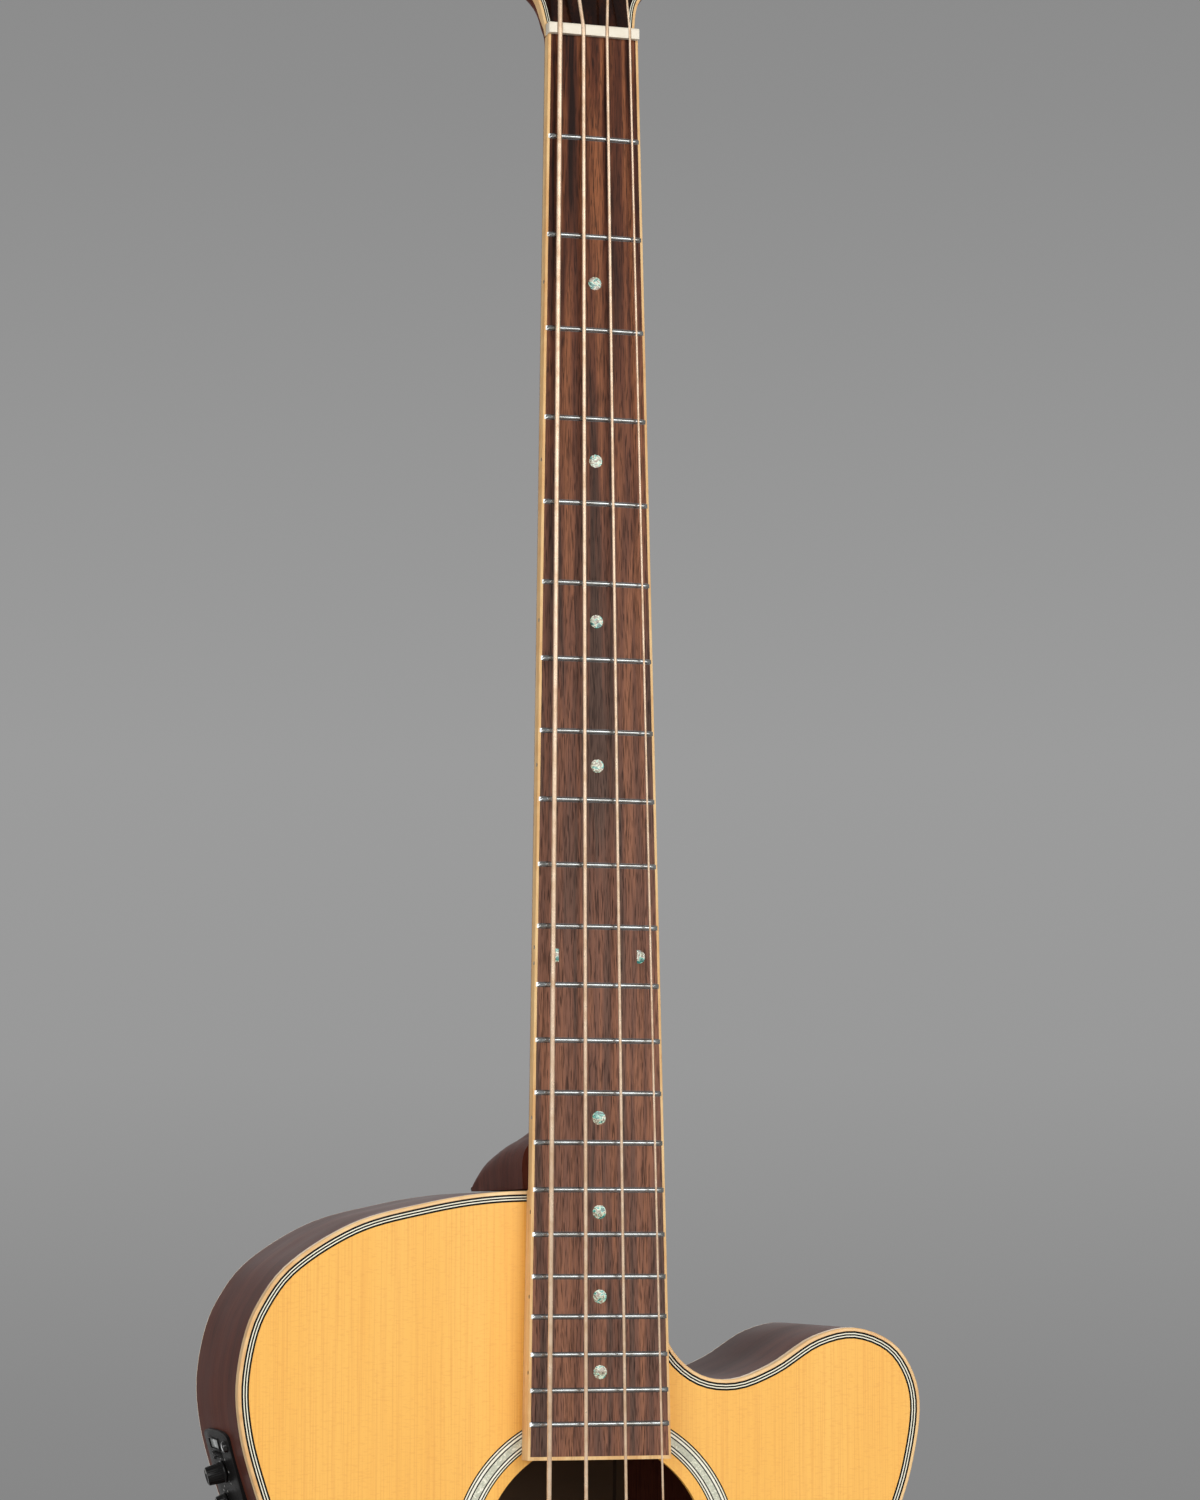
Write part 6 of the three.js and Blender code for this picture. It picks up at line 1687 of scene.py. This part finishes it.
@dataclass
class Preamp:
    """The preamp's panel on the bass side: display, knobs, buttons and battery door.

    A place on the panel is its distance down from the upper end and its distance across from the middle,
    and a flat one has its length and its width after them. A knob has its radius and its height.
    """

    length: float = 90.0
    front_edge: float = -32.0
    rear_edge: float = 29.5
    proud: float = 1.6
    flange: float = 4.0
    arch: float = 4.0
    arch_power: float = 0.7
    arch_steps: int = 24
    display: Place = (6.5, 7.0, 4.2, 21.0)
    bezel: float = 1.5
    lights: tuple[Point, ...] = ((10.9, 15.5), (13.4, 15.5))
    hatch: Place = (11.2, 3.0, 3.2, 18.0)
    ribs: int = 12
    rib_lean: float = 35.0
    door: Place = (75.0, 0.0, 21.0, 51.0)
    door_thickness: float = 1.8
    gap: float = 0.3
    knobs: tuple[tuple[str, float, float, float, float], ...] = (
        ("volume_knob", 18.2, -5.0, 5.0, 8.5), ("bass_knob", 33.0, 9.5, 4.5, 5.0),
        ("treble_knob", 50.0, 9.5, 4.5, 5.0))
    buttons: tuple[tuple[str, float, float], ...] = (
        ("tuner_button", 6.4, -22.0), ("phase_button", 44.0, -12.0))
    shaft: float = 1.6
    shaft_bore: float = 1.9
    button: float = 2.5
    button_bore: float = 2.8
    case_low: tuple[float, float, float] = (1.0, -26.4, -40.9)
    case_high: tuple[float, float, float] = (34.0, 26.4, 40.9)
    taper: float = 0.82
    knob_steps: int = 72
    dial: tuple[int, ...] = (-135, -90, -45, 0, 45, 90, 135)
    dial_gap: float = 2.6

    def _down(self, distance: float) -> float:
        """Height in the panel's frame of a place measured down from its upper end."""
        return self.length / 2 - distance

    def _standing(self, mesh: BMesh, at: float, across: float) -> BMesh:
        """Turns a solid about Z so that it stands out of the panel at a place."""
        return moved(mesh, at_point(0, across, self._down(at)) @ TO_BASS)

    def _flat(self, place: Place, low: float, high: float, gap: float = 0.0, radius: float = 0.0) -> BMesh:
        """A flat block over a place on the panel.

        Args:
            place: the place with its length and width.
            low: the depth of its outer face under the panel's own.
            high: the depth of its inner face.
            gap: how far it reaches past the place all round.
            radius: the radius of its edges.
        Returns:
            The block.
        """
        at, across, length, width = place
        return block(
            (low - self.proud, across - width / 2 - gap, self._down(at) - length / 2 - gap),
            (high - self.proud, across + width / 2 + gap, self._down(at) + length / 2 + gap), radius)

    def build(self) -> None:
        """Builds and dresses the preamp."""
        self._panel()
        glass = self._flat(self.display, 0.25, 0.8, radius=0.15)
        Piece("display_glass", [GLASS], "screen", ["preamp_display"]).make(glass, PANEL)
        for name, at, across, radius, height in self.knobs:
            self._knob(name, (at, across), radius, height)
        out = self.proud + 1.6
        for name, at, across in self.buttons:
            cap = turned([(0, out), (1.7, out), (2.3, out - 0.25), (self.button, out - 0.7),
                          (self.button, -4.5), (0, -4.5)], 32)
            Piece(f"{name}_cap", [GLOSS_BLACK], "black", [name], name).make(
                self._standing(cap, at, across), PANEL)
        self._door()
        self._marks()

    def _panel(self) -> None:
        """The moulded panel and its housing, with the rooms for the parts."""
        rooms = [self._flat(self.display, -3.0, 0.9, 0.15), self._flat(self.door, -3.0, 2.1, self.gap)]
        for places, bore, steps in ((self.knobs, self.shaft_bore, 24), (self.buttons, self.button_bore, 32)):
            rooms += [self._standing(rod(bore, -3, 6, steps), at, across) for _, at, across, *_ in places]
        panel = shaped(self._slab(), rooms)
        face = self.proud
        for _, at, across, radius, _ in self.knobs:
            skirt = turned([
                (radius + 0.3, face - 0.3), (radius + 1.5, face - 0.3), (radius + 1.3, face + 0.12),
                (radius + 0.5, face + 0.12), (radius + 0.3, face - 0.3)], 48)
            panel = together([panel, self._standing(skirt, at, across)])
        case = block(self.case_low, self.case_high, 1.5)
        whole = together([panel, case, self._bezel(), *self._hatching()])
        Piece("preamp_panel", [BLACK], "black", ["preamp_housing"]).make(whole, PANEL)
        domes = []
        for light in self.lights:
            dome = turned([(0, face + 0.75), (0.5, face + 0.6), (0.9, face), (0, 0.5)], 20)
            domes.append(self._standing(dome, *light))
        Piece("panel_lights", [GLOSS_BLACK], "black").make(together(domes), PANEL)

    def _slab(self) -> BMesh:
        """The panel's plate, with a slightly arched upper end and a rounded lip."""
        half, middle = (self.rear_edge - self.front_edge) / 2, (self.rear_edge + self.front_edge) / 2
        shoulder = self.length / 2 - self.arch
        ring = [(self.front_edge, -self.length / 2), (self.rear_edge, -self.length / 2)]
        for i in range(self.arch_steps + 1):
            turn = math.pi * i / self.arch_steps
            across = math.copysign(abs(math.cos(turn)) ** self.arch_power, math.cos(turn))
            rise = max(0.0, math.sin(turn)) ** self.arch_power
            ring.append((middle + half * across, shoulder + self.arch * rise))
        swap = Matrix(((0, 1, 0, 0), (1, 0, 0, 0), (0, 0, 1, 0), (0, 0, 0, 1)))
        slab = outwards(moved(plate([ring], -self.proud, self.flange), swap))
        soften(slab, corners(slab, 50.0, lambda spot: spot.x < -self.proud + 0.01), 0.9, 4)
        return slab

    def _bezel(self) -> BMesh:
        """A low frame round the display."""
        at, across, length, width = self.display
        outer = self._flat((at, across, length + self.bezel, width + 2 * self.bezel), -0.35, 0.2, radius=0.15)
        return shaped(outer, [self._flat(self.display, -3.0, 3.0, 0.15)])

    def _hatching(self) -> list[BMesh]:
        """Fine ribs across the panel under the display."""
        at, across, length, width = self.hatch
        ribs = []
        for i in range(self.ribs):
            middle = across + width * ((i + 0.5) / self.ribs - 0.5)
            rib = block((-self.proud - 0.25, -0.3, -length / 2), (-self.proud + 0.2, 0.3, length / 2), 0.12)
            lean = Matrix.Rotation(math.radians(self.rib_lean), 4, "X")
            ribs.append(moved(rib, at_point(0, middle, self._down(at)) @ lean))
        return ribs

    def _knob(self, name: str, place: Point, radius: float, height: float) -> None:
        """A ribbed knob with a slightly hollow face and a pointer line.

        Args:
            name: the knob's body.
            place: where it stands on the panel.
            radius: the radius of its foot.
            height: how far it stands out of its seat.
        """
        seat = self.proud + self.gap
        top = seat + height
        narrow = radius * self.taper
        mesh = turned([
            (0, top - 0.35), (narrow * 0.72, top - 0.25), (narrow * 0.84, top), (narrow * 0.93, top - 0.12),
            (narrow, top - 0.6), (radius * 0.93, seat + 1.5), (radius * 0.95, seat + 1.4),
            (radius, seat + 1.1), (radius, seat + 0.3), (radius * 0.96, seat), (self.shaft, seat),
            (self.shaft, -6), (0, -6)], self.knob_steps)
        for vert in mesh.verts:
            if vert.co.xy.length > radius * 0.8 and seat + 1.45 < vert.co.z < top - 0.5:
                step = round(math.atan2(vert.co.y, vert.co.x) / (2 * math.pi / self.knob_steps))
                if step % 3 == 0:
                    vert.co.xy *= 1 - 0.25 / radius
        cap = self._standing(mesh, *place)
        Piece(f"{name}_cap", [SATIN_BLACK], "black", [name], name, 40.0).make(cap, PANEL)
        line = block((narrow * 0.3, -0.2, top - 0.6), (narrow * 0.9, 0.2, top - 0.02), 0.08)
        Piece(f"{name}_pointer", [MARK], "bone", (), name).make(self._standing(line, *place), PANEL)

    def _door(self) -> None:
        """The battery door with a finger notch."""
        at, across, length, _ = self.door
        lid = self._flat(self.door, 0.0, self.door_thickness, radius=0.35)
        notch = turned([(0, -1.2), (4.5, -1.2), (5.2, 0.8), (0, 0.8)], 36)
        spot = at_point(-self.proud, across, self._down(at) + length / 2 - 3.2)
        lid = shaped(lid, [moved(notch, spot @ TO_BASS @ Matrix.Diagonal((0.45, 1, 1, 1)))])
        Piece("battery_lid", [BLACK], "black", ["battery_door"], "battery_door").make(lid, PANEL)

    def _marks(self) -> None:
        """Small plain dots round the knobs."""
        face = self.proud
        dots = []
        for _, at, across, radius, _ in self.knobs:
            reach = radius + self.dial_gap
            for angle in map(math.radians, self.dial):
                dot = turned([(0, face + 0.12), (0.45, face + 0.1), (0.6, face - 0.1), (0, face - 0.1)], 16)
                down, aside = at - math.cos(angle) * reach, across + math.sin(angle) * reach
                dots.append(self._standing(dot, down, aside))
        Piece("dial_dots", [MARK], "bone").make(together(dots), PANEL)


@dataclass
class Jack:
    """The end-pin jack, whose outer end is the strap button."""

    y: float = 58.6917
    z: float = JOINT_Z - BODY_LENGTH
    x: float = MIDDLE_X
    profile: tuple[Point, ...] = (
        (0, -24), (3.3, -24), (3.3, 13.2), (3.9, 14), (6.6, 14), (7.5, 13.2), (7.5, 11.6), (6.9, 10.8),
        (5.0, 8), (5.0, 3.4), (5.6, 2.6), (7.4, 2.5), (8, 1.9), (8, 0.3), (6, 0.3), (6, -30), (0, -30))

    def build(self) -> None:
        """Builds the jack with its bore."""
        place = at_point(self.x, self.y, self.z) @ Matrix.Rotation(math.pi, 4, "X")
        mesh = turned(self.profile, 48)
        Piece("endpin", [NICKEL], "nickel", ["endpin_jack"], GUITAR, 35.0).make(mesh, place)


# Studio


@dataclass
class Studio:
    """Floor, soft light and the camera of the photograph."""

    eye: tuple[float, float, float] = (-448.28, -1658.06, -539.31)
    forward: tuple[float, float, float] = (0.26072183, 0.95757296, 0.12279312)
    up: tuple[float, float, float] = (-0.03279701, -0.11833348, 0.99243214)
    lens: float = 93.642
    sensor: float = 36.0
    clip: tuple[float, float] = (0.05, 60.0)
    floor: float = -1055.6
    floor_y: float = 50.0
    floor_radius: float = 1700.0
    paint: Plain = Plain("floor_paint", *tones((196, 195, 193), (190, 189, 187)), 3.0, 0.02, 0.7)
    lit: tuple[float, float, float] = (0.0, 0.0, -520.0)
    lamps: tuple[tuple[str, tuple[float, float, float], float, float], ...] = (
        ("key", (1000, -2400, 350), 1800, 43.0), ("fill", (-1900, -1900, 100), 1800, 32.0),
        ("back_light", (300, 2400, -300), 1500, 8.0))
    greys: tuple[tuple[float, int], ...] = (
        (0.0, 131), (0.136, 138), (0.32, 153), (0.5, 156), (0.68, 150), (0.87, 142), (1.0, 138))
    grey_from: float = -0.1
    grey_to: float = 0.34

    def build(self) -> None:
        """Sets the stage."""
        self._camera()
        self._floor()
        self._world()
        for lamp in self.lamps:
            self._lamp(*lamp)
        bpy.context.scene.view_settings.view_transform = "Standard"

    def _camera(self) -> None:
        """The camera at the photograph's place and angle."""
        data = bpy.data.cameras.new("camera")
        data.lens, data.sensor_width = self.lens, self.sensor
        data.clip_start, data.clip_end = self.clip
        camera = shown(data, "camera")
        forward, up = Vector(self.forward).normalized(), Vector(self.up)
        right = forward.cross(up).normalized()
        up = right.cross(forward)
        turn = Matrix((right, up, -forward)).transposed().to_4x4()
        camera.matrix_world = Matrix.Translation(Vector(self.eye) * MM) @ turn
        bpy.context.scene.camera = camera

    def _floor(self) -> None:
        """A plain pale floor under the instrument."""
        mesh = bmesh.new()
        bmesh.ops.create_circle(mesh, cap_ends=True, radius=self.floor_radius * MM, segments=96)
        bmesh.ops.translate(mesh, vec=(0, self.floor_y * MM, self.floor * MM), verts=mesh.verts[:])
        floor = shown(stored(mesh, "floor"), "floor")
        floor.data.materials.append(self.paint.material())

    def _world(self) -> None:
        """A plain grey surround, a little darker above and below."""
        world = bpy.data.worlds.new("surround")
        world.use_nodes = True
        tree = world.node_tree
        tree.nodes.clear()
        kinds = ("TexCoord", "SeparateXYZ", "MapRange", "ValToRGB", "Background")
        place, split, spread, ramp, shine = (tree.nodes.new(f"ShaderNode{kind}") for kind in kinds)
        out = tree.nodes.new("ShaderNodeOutputWorld")
        spread.inputs["From Min"].default_value = self.grey_from
        spread.inputs["From Max"].default_value = self.grey_to
        set_stops(ramp.color_ramp, [(at, linear(grey, grey, grey)) for at, grey in self.greys])
        tree.links.new(place.outputs["Generated"], split.inputs[0])
        tree.links.new(split.outputs[2], spread.inputs["Value"])
        tree.links.new(spread.outputs[0], ramp.inputs[0])
        tree.links.new(ramp.outputs[0], shine.inputs["Color"])
        tree.links.new(shine.outputs[0], out.inputs["Surface"])
        bpy.context.scene.world = world

    def _lamp(self, name: str, place: Sequence[float], size: float, power: float) -> None:
        """A square soft lamp that faces the middle of the instrument.

        Args:
            name: the lamp's name.
            place: where it stands.
            size: the length of its sides.
            power: its power in watts.
        """
        data = bpy.data.lights.new(name, "AREA")
        data.shape, data.size, data.energy = "SQUARE", size * MM, power
        lamp = shown(data, name)
        lamp.location = Vector(place) * MM
        lamp.rotation_mode = "QUATERNION"
        lamp.rotation_quaternion = (Vector(self.lit) * MM - lamp.location).to_track_quat("-Z", "Y")


def main() -> None:
    """Builds the instrument and its studio."""
    logging.basicConfig(level=logging.INFO, format="%(name)s: %(message)s")
    body, board, head, strings = Body(), Board(), Head(), Strings()
    Studio().build()
    body.build()
    Inside().build(body)
    board.build()
    head.build()
    NeckWood().build(board, head)
    Tuners().build(head)
    strings.build(head.posts())
    Bridge().build(strings)
    Preamp().build()
    Jack().build()


if __name__ == "__main__":
    main()
